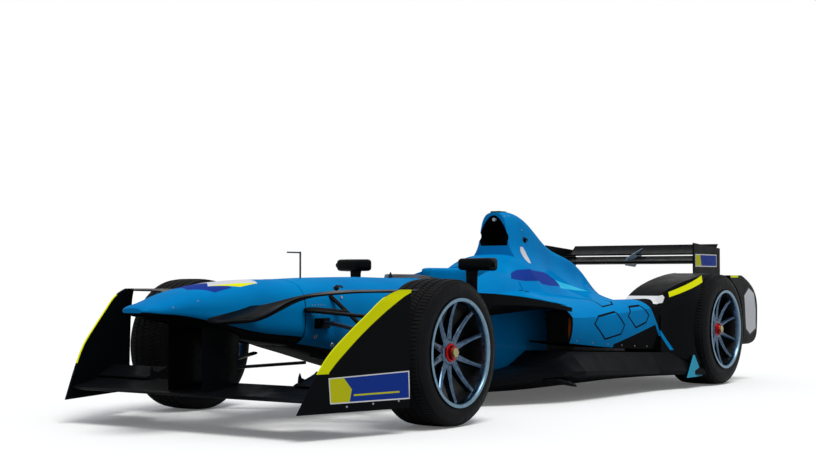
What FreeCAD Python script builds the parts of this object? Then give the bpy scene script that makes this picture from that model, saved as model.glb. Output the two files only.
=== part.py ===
import FreeCAD, Part
import Sketcher
import math
import os

# Open wheel racing car, full size, in millimetres.
# The car faces -Y, its left side is +X, and it stands on the floor at z = 0.

V = FreeCAD.Vector
doc = FreeCAD.newDocument("open_wheel_racing_car")

# Driving dimensions

dimensions = {
    "wheelbase": 3100,
    "front_overhang": 1150,
    "rear_overhang": 750,
    "front_track": 1496,
    "rear_track": 1456,
    "front_tyre_diameter": 660,
    "rear_tyre_diameter": 692,
    "front_tyre_width": 254,
    "rear_tyre_width": 290,
    "tyre_shoulder": 26,
    "bead_diameter": 466,
    "rim_diameter": 488,
    "rim_lip": 9,
    "rim_wall": 7,
    "front_rim_width": 262,
    "rear_rim_width": 302,
    "hub_face_depth": 62,
    "rim_hub_diameter": 112,
    "rim_bore": 58,
    "spoke_width": 17,
    "spoke_depth": 26,
    "spoke_turn_deg": 22,
    "spoke_shift": 12,
    "spoke_pairs": 5,
    "nut_diameter": 84,
    "nut_hex": 46,
    "nut_height": 34,
    "disc_diameter": 278,
    "disc_thickness": 26,
    "bell_diameter": 150,
    "bearing_diameter": 72,
    "kingpin_offset": 62,
    "running_gap": 6,
    "seat_gap": 0.3,
    "upright_height": 262,
    "upright_width": 96,
    "upright_thickness": 30,
    "ball_boss": 34,
    "ball_boss_height": 26,
    "clevis_plate": 10,
    "steering_arm_length": 165,
    "steering_arm_rise": 42,
    "arm_chord": 46,
    "arm_thickness": 17,
    "rod_diameter": 18,
    "caliper_length": 170,
    "caliper_width": 96,
    "caliper_depth": 46,
    "chassis_height": 664,
    "chassis_half_width": 350,
    "chassis_wall": 32,
    "cockpit_half_width": 222,
    "cockpit_length": 800,
    "cockpit_floor": 165,
    "nose_half_width": 205,
    "pylon_spacing": 196,
    "pylon_chord": 232,
    "pylon_thickness": 26,
    "wing_span": 1330,
    "wing_chord": 262,
    "wing_thickness": 26,
    "wing_height": 150,
    "flap_span": 232,
    "flap_chord": 150,
    "plate_thickness": 9,
    "plate_height": 500,
    "plate_base": 112,
    "skid_width": 300,
    "skid_depth": 8,
    "plate_flare": 170,
    "bridge_thickness": 13,
    "floor_clearance": 58,
    "floor_thickness": 22,
    "floor_half_width": 745,
    "pod_height": 600,
    "pod_half_width": 700,
    "pod_wall": 9,
    "hoop_half_width": 112,
    "intake_depth": 150,
    "hoop_bore": 26,
    "cover_height": 1048,
    "rear_pod_height": 698,
    "rear_pod_half_width": 850,
    "arch_gap": 18,
    "fairing_depth": 247,
    "rear_plate_clearance": 28,
    "rear_plate_thickness": 10,
    "rear_wing_height": 897,
    "rear_wing_chord": 300,
    "screen_height": 22,
    "screen_thickness": 4,
    "headrest_depth": 150,
    "fin_length": 220,
    "fin_height": 132,
    "vane_length": 360,
    "vane_height": 66,
    "mirror_width": 254,
    "mirror_height": 62,
    "mirror_depth": 74,
    "mirror_spacing": 804,
    "probe_height": 120,
    "probe_diameter": 9,
    "probe_reach": 97,
    "battery_length": 420,
    "battery_width": 600,
    "motor_length": 1010,
    "motor_width": 380,
    "motor_height": 300,
    "shaft_diameter": 34,
    "jack_pin_diameter": 40,
    "wheel_grip": 270,
    "column_diameter": 30,
    "cut_over": 5,
}

sheet = doc.addObject("Spreadsheet::Sheet", "Dims")
for row, (alias, value) in enumerate(dimensions.items(), 1):
    sheet.set("A%d" % row, alias)
    sheet.set("B%d" % row, str(value))
    sheet.setAlias("B%d" % row, alias)
doc.recompute()


def size(alias):
    return float(sheet.get(alias))


front_axle = (size("front_overhang") - size("wheelbase") - size("rear_overhang")) / 2
rear_axle = front_axle + size("wheelbase")
tail_end = rear_axle + size("rear_overhang")
front_radius = size("front_tyre_diameter") / 2
rear_radius = size("rear_tyre_diameter") / 2
gap = size("seat_gap")
over = size("cut_over")


def along(share):
    """Place on Y, as a share of the wheelbase behind the front axle."""
    return front_axle + share * size("wheelbase")


def ahead(share):
    """Place on Y, as a share of the front overhang ahead of the front axle."""
    return front_axle - share * size("front_overhang")


def behind(share):
    """Place on Y, as a share of the rear overhang behind the rear axle."""
    return rear_axle + share * size("rear_overhang")


# Helpers for solids of free form


def add(name, shape):
    piece = doc.addObject("Part::Feature", name)
    piece.Label = name
    piece.Shape = shape
    return piece


def curve(points):
    if len(points) == 2:
        return Part.makeLine(points[0], points[1])
    spline = Part.BSplineCurve()
    spline.interpolate(Points=points)
    return spline.toShape()


def closed_wire(strips):
    """One closed wire from strips of points; each strip starts where the last one ended."""
    edges = []
    for index, strip in enumerate(strips):
        start = [strips[index - 1][-1]] if index else [strips[-1][-1]]
        edges.append(curve(start + list(strip)))
    return Part.Wire(edges)


def ring(y, half_width, top, bottom, middle, power_top, power_bottom, steps=24):
    """Closed smooth section across the car: a superellipse, flatter as its powers grow."""
    points = []
    for step in range(steps):
        turn = 2 * math.pi * step / steps
        power = power_top if math.sin(turn) >= 0 else power_bottom
        reach = top - middle if math.sin(turn) >= 0 else middle - bottom
        x = half_width * math.copysign(abs(math.cos(turn)) ** (2 / power), math.cos(turn))
        z = middle + reach * math.copysign(abs(math.sin(turn)) ** (2 / power), math.sin(turn))
        points.append(V(x, y, z))
    spline = Part.BSplineCurve()
    spline.interpolate(Points=points, PeriodicFlag=True)
    return Part.Wire([spline.toShape()])


def loft(wires, ruled=False):
    """Solid through the wires, turned right side out where it came inside out."""
    solid = Part.makeLoft(wires, True, ruled)
    if solid.Volume < 0:
        solid.reverse()
    return solid


def spaced(rows, steps):
    """The rows of a table at even steps of its first column, the other columns eased in between."""
    first = rows[0][0]
    last = rows[-1][0]
    slopes = []
    for index in range(len(rows)):
        before = rows[max(index - 1, 0)]
        after = rows[min(index + 1, len(rows) - 1)]
        slopes.append([(late - early) / (after[0] - before[0]) for early, late in zip(before, after)])
    result = []
    for step in range(steps + 1):
        share = first + (last - first) * step / steps
        index = max(0, min(len(rows) - 2, sum((share - row[0]) * (last - first) > 0 for row in rows) - 1))
        run = rows[index + 1][0] - rows[index][0]
        t = (share - rows[index][0]) / run
        row = []
        for early, late, leave, reach in zip(rows[index], rows[index + 1], slopes[index], slopes[index + 1]):
            row.append(early + (late - early) * t * t * (3 - 2 * t)
                       + run * t * (1 - t) * (leave * (1 - t) - reach * t))
        result.append(row)
    return result


def mirrored(shape):
    return shape.mirror(V(0, 0, 0), V(1, 0, 0))


def both(shape):
    """A left piece and its right twin as two solids of one sub-part."""
    return Part.makeCompound([shape, mirrored(shape)])


def largest(shape):
    return sorted(shape.Solids, key=lambda each: each.Volume)[-1]


def box(x0, x1, y0, y1, z0, z1):
    return Part.makeBox(x1 - x0, y1 - y0, z1 - z0, V(x0, y0, z0))


def strut(start, end, chord, thickness):
    """Streamlined arm: an ellipse of chord along Y, run from one end to the other."""
    along_arm = end - start
    across = V(0, 1, 0) - along_arm * (along_arm.y / along_arm.dot(along_arm))
    across.normalize()
    normal = along_arm.cross(across)
    normal.normalize()
    major = max(chord, thickness) / 2
    minor = min(chord, thickness) / 2
    ellipse = Part.Ellipse(start + across * major, start + normal * minor, start)
    face = Part.Face(Part.Wire([ellipse.toShape()]))
    return face.extrude(along_arm)


def rod(start, end, diameter):
    run = end - start
    return Part.makeCylinder(diameter / 2, run.Length, start, run)


def upright_cylinder(x, y, z, diameter, height):
    return Part.makeCylinder(diameter / 2, height, V(x, y, z), V(0, 0, 1))


def aerofoil(x, y_lead, z_lead, chord, thickness, camber, pitch_deg):
    """Wing section at station x, leading edge first, its chord turned up by the pitch."""
    upper = []
    lower = []
    stations = (0, 0.03, 0.12, 0.3, 0.55, 0.8, 1)
    for share in stations:
        half = thickness * 1.48 * (math.sqrt(share) - share) + thickness * 0.06 * share
        bend = -4 * camber * share * (1 - share)
        upper.append((share * chord, bend + half))
        lower.append((share * chord, bend - half))
    turn = math.radians(pitch_deg)

    def turned(point):
        y = point[0] * math.cos(turn) - point[1] * math.sin(turn)
        z = point[0] * math.sin(turn) + point[1] * math.cos(turn)
        return V(x, y_lead + y, z_lead + z)

    top = [turned(point) for point in upper]
    base = [turned(point) for point in reversed(lower)]
    return closed_wire((top[1:], [base[0]], base[1:]))


# Helpers for bodies with sketches


def origin_plane(body, role):
    for feature in body.Origin.OriginFeatures:
        if feature.Role == role:
            return feature


def new_body(name):
    body = doc.addObject("PartDesign::Body", name)
    body.Label = name
    return body


def new_sketch(body, name, role):
    sketch = body.newObject("Sketcher::SketchObject", name)
    sketch.AttachmentSupport = [(origin_plane(body, role), "")]
    sketch.MapMode = "FlatFace"
    return sketch


def outline(sketch, corners):
    """Closed polygon; each corner is a pair of expressions, measured from the sketch's origin."""
    first = sketch.GeometryCount
    count = len(corners)
    spots = [[float(sketch.evalExpression(rule)) for rule in corner] for corner in corners]
    for index, spot in enumerate(spots):
        end = spots[(index + 1) % count]
        sketch.addGeometry(Part.LineSegment(V(*spot, 0), V(*end, 0)), False)
    for index in range(count):
        after = first + (index + 1) % count
        sketch.addConstraint(Sketcher.Constraint("Coincident", first + index, 2, after, 1))
    for index, corner in enumerate(corners):
        for kind, rule, value in zip(("DistanceX", "DistanceY"), corner, spots[index]):
            constraint = Sketcher.Constraint(kind, -1, 1, first + index, 1, value)
            number = sketch.addConstraint(constraint)
            sketch.setExpression("Constraints[%d]" % number, rule)


def place(piece, x, y, z, turn=None):
    if turn is not None:
        piece.Placement = FreeCAD.Placement(V(0, 0, 0), turn)
    piece.setExpression("Placement.Base.x", x)
    piece.setExpression("Placement.Base.y", y)
    piece.setExpression("Placement.Base.z", z)


# Wheels: tyre, rim and hub, each drawn about the X axis with the outboard side at +X


def wheel_rules(end):
    """Expressions that the three pieces of one wheel share."""
    half = "Dims.%s_rim_width / 2" % end
    return {
        "half": half,
        "tyre_half": "Dims.%s_tyre_width / 2" % end,
        "tyre_radius": "Dims.%s_tyre_diameter / 2" % end,
        "seat": "(Dims.bead_diameter / 2 - Dims.seat_gap)",
        "well": "(Dims.bead_diameter / 2 - 3 * Dims.rim_wall)",
        "face": "(%s - Dims.hub_face_depth)" % half,
    }


def spin(body, sketch, name):
    turned = body.newObject("PartDesign::Revolution", name)
    turned.Profile = sketch
    turned.ReferenceAxis = (sketch, ["H_Axis"])
    turned.Angle = 360
    sketch.Visibility = False
    return turned


def make_tyre(name, end):
    rules = wheel_rules(end)
    body = new_body(name)
    sketch = new_sketch(body, name + "_section", "XZ_Plane")
    bead_x = "(%s - Dims.rim_lip - Dims.seat_gap)" % rules["half"]
    side_x = rules["tyre_half"]
    low = "Dims.bead_diameter / 2"
    tread = rules["tyre_radius"]
    waist = "(%s + %s) / 2" % (low, tread)
    crown = "%s - Dims.tyre_shoulder / 6" % tread
    sidewall = [
        (bead_x, low),
        ("%s - Dims.seat_gap" % bead_x, "Dims.rim_diameter / 2 + Dims.seat_gap"),
        (side_x, waist),
        ("%s - Dims.tyre_shoulder / 4" % side_x, "%s - Dims.tyre_shoulder" % tread),
        ("%s - Dims.tyre_shoulder" % side_x, crown),
    ]
    left = [("-(%s)" % x, z) for x, z in reversed(sidewall)]
    outline(sketch, sidewall + [("0 * %s" % side_x, tread)] + left)
    spin(body, sketch, name + "_turned")
    return body


def make_rim(name, end):
    rules = wheel_rules(end)
    half = rules["half"]
    seat = rules["seat"]
    well = rules["well"]
    body = new_body(name)
    sketch = new_sketch(body, name + "_barrel_section", "XZ_Plane")
    lip = "Dims.rim_diameter / 2"
    outer_right = [
        (half, lip),
        ("%s - Dims.rim_lip" % half, lip),
        ("%s - Dims.rim_lip" % half, seat),
        ("%s - 5 * Dims.rim_lip" % half, seat),
        ("%s - 8 * Dims.rim_lip" % half, well),
    ]
    inner_right = [
        ("%s - 8 * Dims.rim_lip" % half, "%s - Dims.rim_wall" % well),
        ("%s - 2 * Dims.rim_lip" % half, "%s - Dims.rim_wall" % seat),
        (half, "%s - Dims.rim_wall" % lip),
    ]
    outer_left = [("-(%s)" % x, z) for x, z in reversed(outer_right)]
    inner_left = [("-(%s)" % x, z) for x, z in reversed(inner_right)]
    outline(sketch, outer_right + outer_left + inner_left + inner_right)
    spin(body, sketch, name + "_barrel")

    hub = "Dims.rim_hub_diameter / 2"
    face = rules["face"]
    pads = []
    depth = "Dims.spoke_depth"
    for number, side in enumerate((-1, 1), 1):
        # Each spoke's plane passes beside the axle, so a pair starts together and parts at the rim
        spoke = new_sketch(body, "%s_spoke_section_%d" % (name, number), "XZ_Plane")
        turn = side * size("spoke_turn_deg")
        offset = "AttachmentOffset.Base."
        spoke.AttachmentOffset = FreeCAD.Placement(V(0, 0, 0), FreeCAD.Rotation(V(1, 0, 0), turn))
        spoke.setExpression(offset + "y", "%d * Dims.spoke_shift * sin(Dims.spoke_turn_deg * 1 deg)" % 1)
        spoke.setExpression(offset + "z", "%d * Dims.spoke_shift * cos(Dims.spoke_turn_deg * 1 deg)" % -side)
        outline(spoke, [
            (face, "%s * 0.8" % hub),
            ("%s + %s * 0.1" % (face, depth), "%s * 1.7" % hub),
            ("%s + %s * 0.7" % (face, depth), "%s * 2.8" % hub),
            ("%s - 1.5 * Dims.rim_lip" % half, "%s - Dims.rim_wall / 2" % seat),
            ("%s - 1.5 * Dims.rim_lip - %s" % (half, depth), "%s - Dims.rim_wall / 2" % seat),
            ("%s - %s * 0.5" % (face, depth), "%s * 2.6" % hub),
            ("%s - %s * 1.2" % (face, depth), "%s * 1.7" % hub),
            ("%s - %s * 1.4" % (face, depth), "%s * 0.8" % hub),
        ])
        pad = body.newObject("PartDesign::Pad", "%s_spoke_%d" % (name, number))
        pad.Profile = spoke
        pad.Midplane = True
        pad.setExpression("Length", "Dims.spoke_width")
        pads.append(pad)
    doc.recompute()
    pattern = body.newObject("PartDesign::PolarPattern", name + "_spokes")
    pattern.Originals = pads
    pattern.Axis = (origin_plane(body, "X_Axis"), [""])
    pattern.Angle = 360
    pattern.setExpression("Occurrences", "Dims.spoke_pairs")
    body.Tip = pattern
    centre = new_sketch(body, name + "_centre_section", "XZ_Plane")
    rear = "%s - 1.6 * Dims.spoke_depth" % face
    outline(centre, [
        (face, "Dims.rim_bore / 2"),
        (face, "%s * 0.85" % hub),
        ("%s - Dims.spoke_depth / 4" % face, hub),
        (rear, hub),
        (rear, "Dims.rim_bore / 2"),
    ])
    spin(body, centre, name + "_centre")
    return body


def make_hub(name, end):
    rules = wheel_rules(end)
    face = rules["face"]
    rear = "(%s - 1.6 * Dims.spoke_depth)" % face
    body = new_body(name)
    sketch = new_sketch(body, name + "_section", "XZ_Plane")
    stub = "(Dims.rim_bore / 2 - Dims.seat_gap)"
    nut = "Dims.nut_diameter / 2"
    hexagon = "Dims.nut_hex / 2"
    drive = "Dims.rim_hub_diameter / 2"
    plate = "Dims.clevis_plate"
    bell = "Dims.bell_diameter / 2"
    disc = "Dims.disc_diameter / 2"
    disc_face = ("(-Dims.kingpin_offset + Dims.ball_boss / 2 + Dims.seat_gap + Dims.clevis_plate"
                 " + Dims.running_gap + Dims.disc_thickness)")
    outline(sketch, [
        ("%s + Dims.nut_height" % face, "0 * Dims.nut_hex"),
        ("%s + Dims.nut_height" % face, "%s * 0.7" % hexagon),
        ("%s + Dims.nut_height * 0.8" % face, hexagon),
        ("%s + Dims.nut_height * 0.4" % face, hexagon),
        ("%s + Dims.nut_height * 0.3" % face, nut),
        ("%s + Dims.seat_gap" % face, nut),
        ("%s + Dims.seat_gap" % face, stub),
        ("%s - Dims.seat_gap" % rear, stub),
        ("%s - Dims.seat_gap" % rear, drive),
        ("%s - %s" % (rear, plate), drive),
        (disc_face, bell),
        (disc_face, disc),
        ("%s - Dims.disc_thickness" % disc_face, disc),
        ("%s - Dims.disc_thickness" % disc_face, "Dims.bearing_diameter / 2 - Dims.seat_gap"),
        ("-Dims.kingpin_offset - Dims.upright_thickness / 2", "Dims.bearing_diameter / 2 - Dims.seat_gap"),
        ("-Dims.kingpin_offset - Dims.upright_thickness / 2", "0 * Dims.nut_hex"),
    ])
    spin(body, sketch, name + "_turned")
    return body


corners = (("front_left", "front", 1), ("front_right", "front", -1),
           ("rear_left", "rear", 1), ("rear_right", "rear", -1))
turned_over = FreeCAD.Rotation(V(0, 0, 1), 180)
axle_rules = {
    "front": "(Dims.front_overhang - Dims.wheelbase - Dims.rear_overhang) / 2",
    "rear": "(Dims.front_overhang + Dims.wheelbase - Dims.rear_overhang) / 2",
}
for corner, end, side in corners:
    turn = turned_over if side < 0 else FreeCAD.Rotation()
    for kind, make in (("tyre", make_tyre), ("rim", make_rim), ("hub", make_hub)):
        piece = make("%s_%s" % (kind, corner), end)
        x_rule = "%d * Dims.%s_track / 2" % (side, end)
        place(piece, x_rule, axle_rules[end], "Dims.%s_tyre_diameter / 2" % end, turn)
doc.recompute()


# Uprights and calipers


def upright(end):
    """Upright with its bearing bore, clevis lugs at top and bottom, and a steering arm in front."""
    axle = front_axle if end == "front" else rear_axle
    radius = front_radius if end == "front" else rear_radius
    x = size(end + "_track") / 2 - size("kingpin_offset")
    thick = size("upright_thickness")
    wide = size("upright_width")
    tall = size("upright_height")
    boss = size("ball_boss")
    plate = size("clevis_plate")
    slot = size("ball_boss_height") + 2 * gap
    half_slot = slot / 2
    body_half = tall / 2 - half_slot - plate
    core = box(x - thick / 2, x + thick / 2, axle - wide / 2, axle + wide / 2,
               radius - body_half, radius + body_half)
    ring_outer = rod(V(x - thick / 2, axle, radius), V(x + thick / 2, axle, radius), wide * 1.15)
    solid = core.fuse(ring_outer)
    for way in (-1, 1):
        middle = radius + way * tall / 2
        for level in (-1, 1):
            low = middle + level * (half_slot + plate / 2) - plate / 2
            lug = upright_cylinder(x, axle, low, boss, plate)
            solid = solid.fuse(lug)
        # Back of the clevis, outboard of the boss
        back = box(x + boss / 2 + gap, x + boss / 2 + plate, axle - boss / 2, axle + boss / 2,
                   middle - half_slot - plate, middle + half_slot + plate)
        for level in (-1, 1):
            low = middle + level * (half_slot + plate / 2) - plate / 2
            back = back.fuse(box(x, x + boss / 2 + plate, axle - boss / 2, axle + boss / 2,
                                 low, low + plate))
        solid = solid.fuse(back)
    if end == "front":
        reach = size("steering_arm_length")
        rise = size("steering_arm_rise")
        arm = box(x - thick / 2, x + thick / 2 - plate, axle - reach, axle,
                  radius + rise - plate, radius + rise)
        tip = upright_cylinder(x, axle - reach, radius + rise - plate, boss, plate)
        solid = solid.fuse(arm).fuse(tip)
    # Lug that carries the caliper: ahead of the axle in front, behind it at the rear
    way = -1 if end == "front" else 1
    lug_reach = (size("disc_diameter") - size("caliper_depth")) / 2
    lug_tall = size("caliper_length") / 4
    near = min(axle, axle + way * lug_reach)
    solid = solid.fuse(box(x - thick / 2, x + thick / 2, near, near + lug_reach,
                           radius - lug_tall, radius + lug_tall))
    bore = rod(V(x - thick, axle, radius), V(x + thick, axle, radius), size("bearing_diameter"))
    solid = solid.cut(bore).removeSplitter()
    return solid


def caliper(end):
    """Brake caliper: a sector that straddles the disc, behind the axle at the rear, ahead in front."""
    axle = front_axle if end == "front" else rear_axle
    radius = front_radius if end == "front" else rear_radius
    x = size(end + "_track") / 2 - size("kingpin_offset")
    inner = x + size("upright_thickness") / 2
    disc = size("disc_diameter") / 2
    wide = size("caliper_width")
    run = size("running_gap")
    deep = size("caliper_depth")
    outer_radius = disc + run + size("clevis_plate")
    body_ring = rod(V(inner - over, axle, radius), V(inner - over + wide * 0.8, axle, radius), 2 * outer_radius)
    core = rod(V(inner - 2 * over, axle, radius), V(inner + wide, axle, radius), 2 * (disc - deep))
    half_height = size("caliper_length") / 2
    start = axle - outer_radius - over if end == "front" else axle
    window = box(inner + gap, inner + wide, start, start + outer_radius + over,
                 radius - half_height, radius + half_height)
    disc_x = x + size("ball_boss") / 2 + gap + size("clevis_plate") + run
    slot = rod(V(disc_x - run, axle, radius), V(disc_x + size("disc_thickness") + run, axle, radius),
               2 * (disc + run))
    solid = body_ring.cut(core).common(window).cut(slot)
    return solid


add("knuckle_left", upright("front"))
add("knuckle_right", mirrored(upright("front")))
add("front_caliper_left", caliper("front"))
add("front_caliper_right", mirrored(caliper("front")))
add("rear_uprights", both(upright("rear")))
add("rear_calipers", both(caliper("rear")))


# Survival cell, nose and cockpit

tall = size("chassis_height")
wide = size("chassis_half_width")

# Along the wheelbase, half width, top, bottom, widest level; then how square the top and bottom are
cell_shares = (
    (-0.086, 0.600, 0.990, 0.399, 0.740, 3.0, 3.4),
    (0.000, 0.660, 1.001, 0.304, 0.690, 3.0, 3.4),
    (0.110, 0.740, 1.007, 0.189, 0.620, 3.0, 3.6),
    (0.220, 0.830, 1.001, 0.104, 0.560, 3.0, 3.8),
    (0.330, 0.930, 1.010, 0.040, 0.500, 3.0, 4.0),
    (0.375, 0.960, 1.045, 0.022, 0.500, 3.2, 4.0),
    (0.420, 0.990, 1.098, 0.006, 0.500, 3.5, 4.0),
    (0.480, 1.000, 1.105, 0.000, 0.500, 3.3, 4.0),
    (0.525, 1.000, 1.145, 0.000, 0.500, 3.0, 4.0),
    (0.560, 1.000, 1.205, 0.000, 0.500, 2.6, 4.0),
)
cell_steps = 12
cell_base = size("floor_clearance") + size("floor_thickness") + gap


def cell_rings(inset):
    rings = []
    for share, half, top, bottom, middle, square_top, square_bottom in spaced(cell_shares, cell_steps):
        rings.append(ring(along(share), half * wide - inset, top * tall - inset,
                          cell_base + bottom * tall + inset, middle * tall, square_top, square_bottom))
    return rings


cell = loft(cell_rings(0))
cell_front = along(cell_shares[0][0])
cell_rear = along(cell_shares[-1][0])
footwell = loft(cell_rings(size("chassis_wall")))
wall = size("chassis_wall")
keep = box(-wide, wide, cell_front + wall, cell_rear - 2 * wall, 0, 2 * tall)
cell = cell.cut(footwell.common(keep))

cockpit_front = along(0.238)
cockpit_half = size("cockpit_half_width")
cockpit_length = size("cockpit_length")
# Plan of the opening, from its front: share of its length, share of its half width
opening_shares = ((0.08, 0.46), (0.25, 0.80), (0.48, 1.00), (0.75, 0.98), (0.93, 0.74))


def opening(shift, low, high):
    """Upright block with the plan of the cockpit opening, moved out all round by a shift."""
    half_length = cockpit_length / 2 + shift
    middle = cockpit_front + cockpit_length / 2
    left_side = [V(half * (cockpit_half + shift), middle + (2 * share - 1) * half_length, low)
                 for share, half in opening_shares]
    right_side = [V(-point.x, point.y, low) for point in reversed(left_side)]
    front_point = [V(0, middle - half_length, low)]
    rear_point = [V(0, middle + half_length, low)]
    plan = Part.BSplineCurve()
    plan.interpolate(Points=front_point + left_side + rear_point + right_side, PeriodicFlag=True)
    return Part.Face(Part.Wire([plan.toShape()])).extrude(V(0, 0, high - low))


cell = cell.cut(opening(0, size("cockpit_floor"), 2 * tall))

# Cross plate under the dash, which carries the steering column
dash_y = along(0.155)
dash = box(-wide, wide, dash_y, dash_y + wall / 2, 0.66 * tall, tall).common(footwell)
column_low = V(0, along(0.06), 0.74 * tall)
column_high = V(0, along(0.300), 0.84 * tall)
cell = cell.fuse(dash).cut(rod(column_low, column_high, size("column_diameter") + 2 * gap))

# Holes in the walls for the track rods
rack_y = front_axle - size("steering_arm_length")
rack_share = 1.3
rack_bore = rack_share * size("rod_diameter")
rod_room = rack_bore + 2 * size("running_gap")
rack_height = 0.684 * tall
rod_hole = rod(V(-wide, rack_y, rack_height), V(wide, rack_y, rack_height), rod_room)
cell = cell.cut(rod_hole)
cell = largest(cell)
cell_space = loft(cell_rings(-gap))
add("survival_cell", cell)

# Headrest: a collar in the rear of the opening, with room for a helmet
headrest_top_share = 1.088
headrest_front_share = 0.70
helmet_share = 0.60
headrest_high = headrest_top_share * tall
headrest_low = headrest_high - size("headrest_depth")
headrest_front = cockpit_front + headrest_front_share * cockpit_length
helmet = helmet_share * cockpit_half
helmet_y = cockpit_front + cockpit_length - helmet - wall
headrest = opening(-gap, headrest_low, headrest_high)
headrest = headrest.common(box(-wide, wide, headrest_front, cell_rear, headrest_low, headrest_high))
helmet_room = box(-helmet, helmet, cockpit_front, helmet_y, headrest_low - over, headrest_high + over)
helmet_room = helmet_room.fuse(upright_cylinder(0, helmet_y, headrest_low - over, 2 * helmet,
                                                headrest_high - headrest_low + 2 * over))
add("headrest", largest(headrest.cut(helmet_room)))

# Windscreen: a low curved strip round the front of the opening
screen_reach_share = 0.30
screen_low = 0.9 * tall
screen_high = cell_shares[3][2] * tall + size("screen_height")
glass = size("screen_thickness")
screen_edge = 3 * glass
screen = opening(screen_edge + glass, screen_low, screen_high).cut(opening(screen_edge, screen_low, screen_high))
screen_rear = cockpit_front + screen_reach_share * cockpit_length
screen_room = box(-wide, wide, cell_front, screen_rear, screen_low, screen_high)
add("windscreen", largest(screen.common(screen_room).cut(cell_space)))

# Along the front overhang ahead of the axle: share, half width, top, bottom, widest level
nose_shares = (
    (1.000, 0.26, 0.808, 0.771, 0.788, 2.2, 2.2),
    (0.970, 0.39, 0.829, 0.757, 0.787, 2.3, 2.3),
    (0.925, 0.47, 0.849, 0.742, 0.787, 2.3, 2.4),
    (0.807, 0.60, 0.909, 0.706, 0.800, 2.4, 2.8),
    (0.647, 0.69, 0.957, 0.650, 0.790, 2.6, 3.2),
    (0.450, 0.80, 0.983, 0.575, 0.770, 2.8, 3.4),
    (0.230, 1.00, 0.989, 0.522, 0.742, 3.0, 3.4),
)
nose_steps = 15
nose_wide = size("nose_half_width")


def nose_rings(grow):
    rings = []
    for share, half, top, bottom, middle, square_top, square_bottom in spaced(nose_shares, nose_steps):
        y = min(ahead(share), cell_front - gap)
        rings.append(ring(y, half * nose_wide + grow, top * tall + grow, bottom * tall - grow, middle * tall,
                          square_top, square_bottom))
    return rings


nose = loft(nose_rings(0))
nose_space = loft(nose_rings(gap))
add("nose_cone", nose)


# Pylons that carry the front wing under the nose


def pylon(side):
    x = side * size("pylon_spacing") / 2
    chord = size("pylon_chord")
    lead = ahead(0.726)
    top = 0.72 * tall
    base = size("wing_height") + size("wing_thickness")
    wires = []
    for z, stretch in ((base, 1.0), (top, 1.04)):
        half = size("pylon_thickness") / 2
        nose_points = [V(x, lead, z), V(x + half, lead + 0.3 * chord, z), V(x, lead + chord * stretch, z)]
        back_points = [V(x - half, lead + 0.3 * chord, z), V(x, lead, z)]
        wires.append(Part.Wire([curve(nose_points), curve([nose_points[-1]] + back_points)]))
    return loft(wires)


pylons = [largest(pylon(side).cut(nose_space)) for side in (1, -1)]

# Front wing

span = size("wing_span")
chord = size("wing_chord")
thick = size("wing_thickness")
wing_z = size("wing_height") + thick / 2
wing_lead = ahead(0.748)
plate_x = span / 2
plate_rear_x = plate_x + size("plate_flare")
# Height share; front edge: share of the overhang ahead, flare share; rear edge: the same
plate_shares = (
    (0.00, 0.785, 0.03, 0.305, 1.00),
    (0.32, 0.705, 0.21, 0.304, 1.00),
    (0.50, 0.646, 0.34, 0.302, 1.00),
    (0.67, 0.562, 0.50, 0.300, 1.00),
    (0.80, 0.492, 0.64, 0.297, 0.99),
    (0.90, 0.439, 0.74, 0.294, 0.98),
    (0.96, 0.395, 0.80, 0.290, 0.97),
    (1.00, 0.345, 0.88, 0.286, 0.97),
)


def plate_rings(inner, outer):
    """Sections of the left endplate's space, from one offset of its middle to another."""
    wires = []
    flare = size("plate_flare")
    for rise, lead, lean, trail, out in plate_shares:
        z = size("plate_base") + rise * size("plate_height")
        front = V(plate_x + lean * flare, ahead(lead), z)
        rear = V(plate_x + out * flare, ahead(trail), z)
        run = rear - front
        across = V(run.y, -run.x, 0)
        across.normalize()
        points = [front + across * inner, rear + across * inner, rear + across * outer, front + across * outer]
        wires.append(Part.makePolygon(points + [points[0]]))
    return wires


half_plate = size("plate_thickness") / 2
end_plate = loft(plate_rings(-half_plate, half_plate), True)
outboard = loft(plate_rings(-half_plate - gap, 2 * size("plate_flare")), True)
add("front_wing_endplates", both(end_plate))
main_plane = loft([aerofoil(x, wing_lead, wing_z, chord, thick, thick / 3, 8)
                   for x in (-plate_rear_x, 0, plate_rear_x)])
main_plane = largest(main_plane.cut(outboard).cut(mirrored(outboard)))
add("front_wing_main_plane", main_plane)
add("nose_pylons", Part.makeCompound([largest(solid.cut(main_plane)) for solid in pylons]))

flaps = []
for side in (1, -1):
    inner = side * (plate_x - size("flap_span"))
    outer = side * plate_rear_x
    flap = loft([aerofoil(x, wing_lead + 0.86 * chord, wing_z + 0.22 * chord, size("flap_chord"),
                          0.6 * thick, thick / 3, 22) for x in (inner, outer)])
    fence_x = inner - side * size("plate_thickness")
    low = min(inner, fence_x)
    fence = box(low, low + size("plate_thickness"), wing_lead + 0.7 * chord,
                wing_lead + 0.86 * chord + size("flap_chord"), wing_z, wing_z + 0.46 * chord)
    flap = flap.cut(outboard if side > 0 else mirrored(outboard))
    flaps.append(flap.fuse(fence.cut(main_plane)))
add("front_wing_flaps", Part.makeCompound(flaps))


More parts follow.
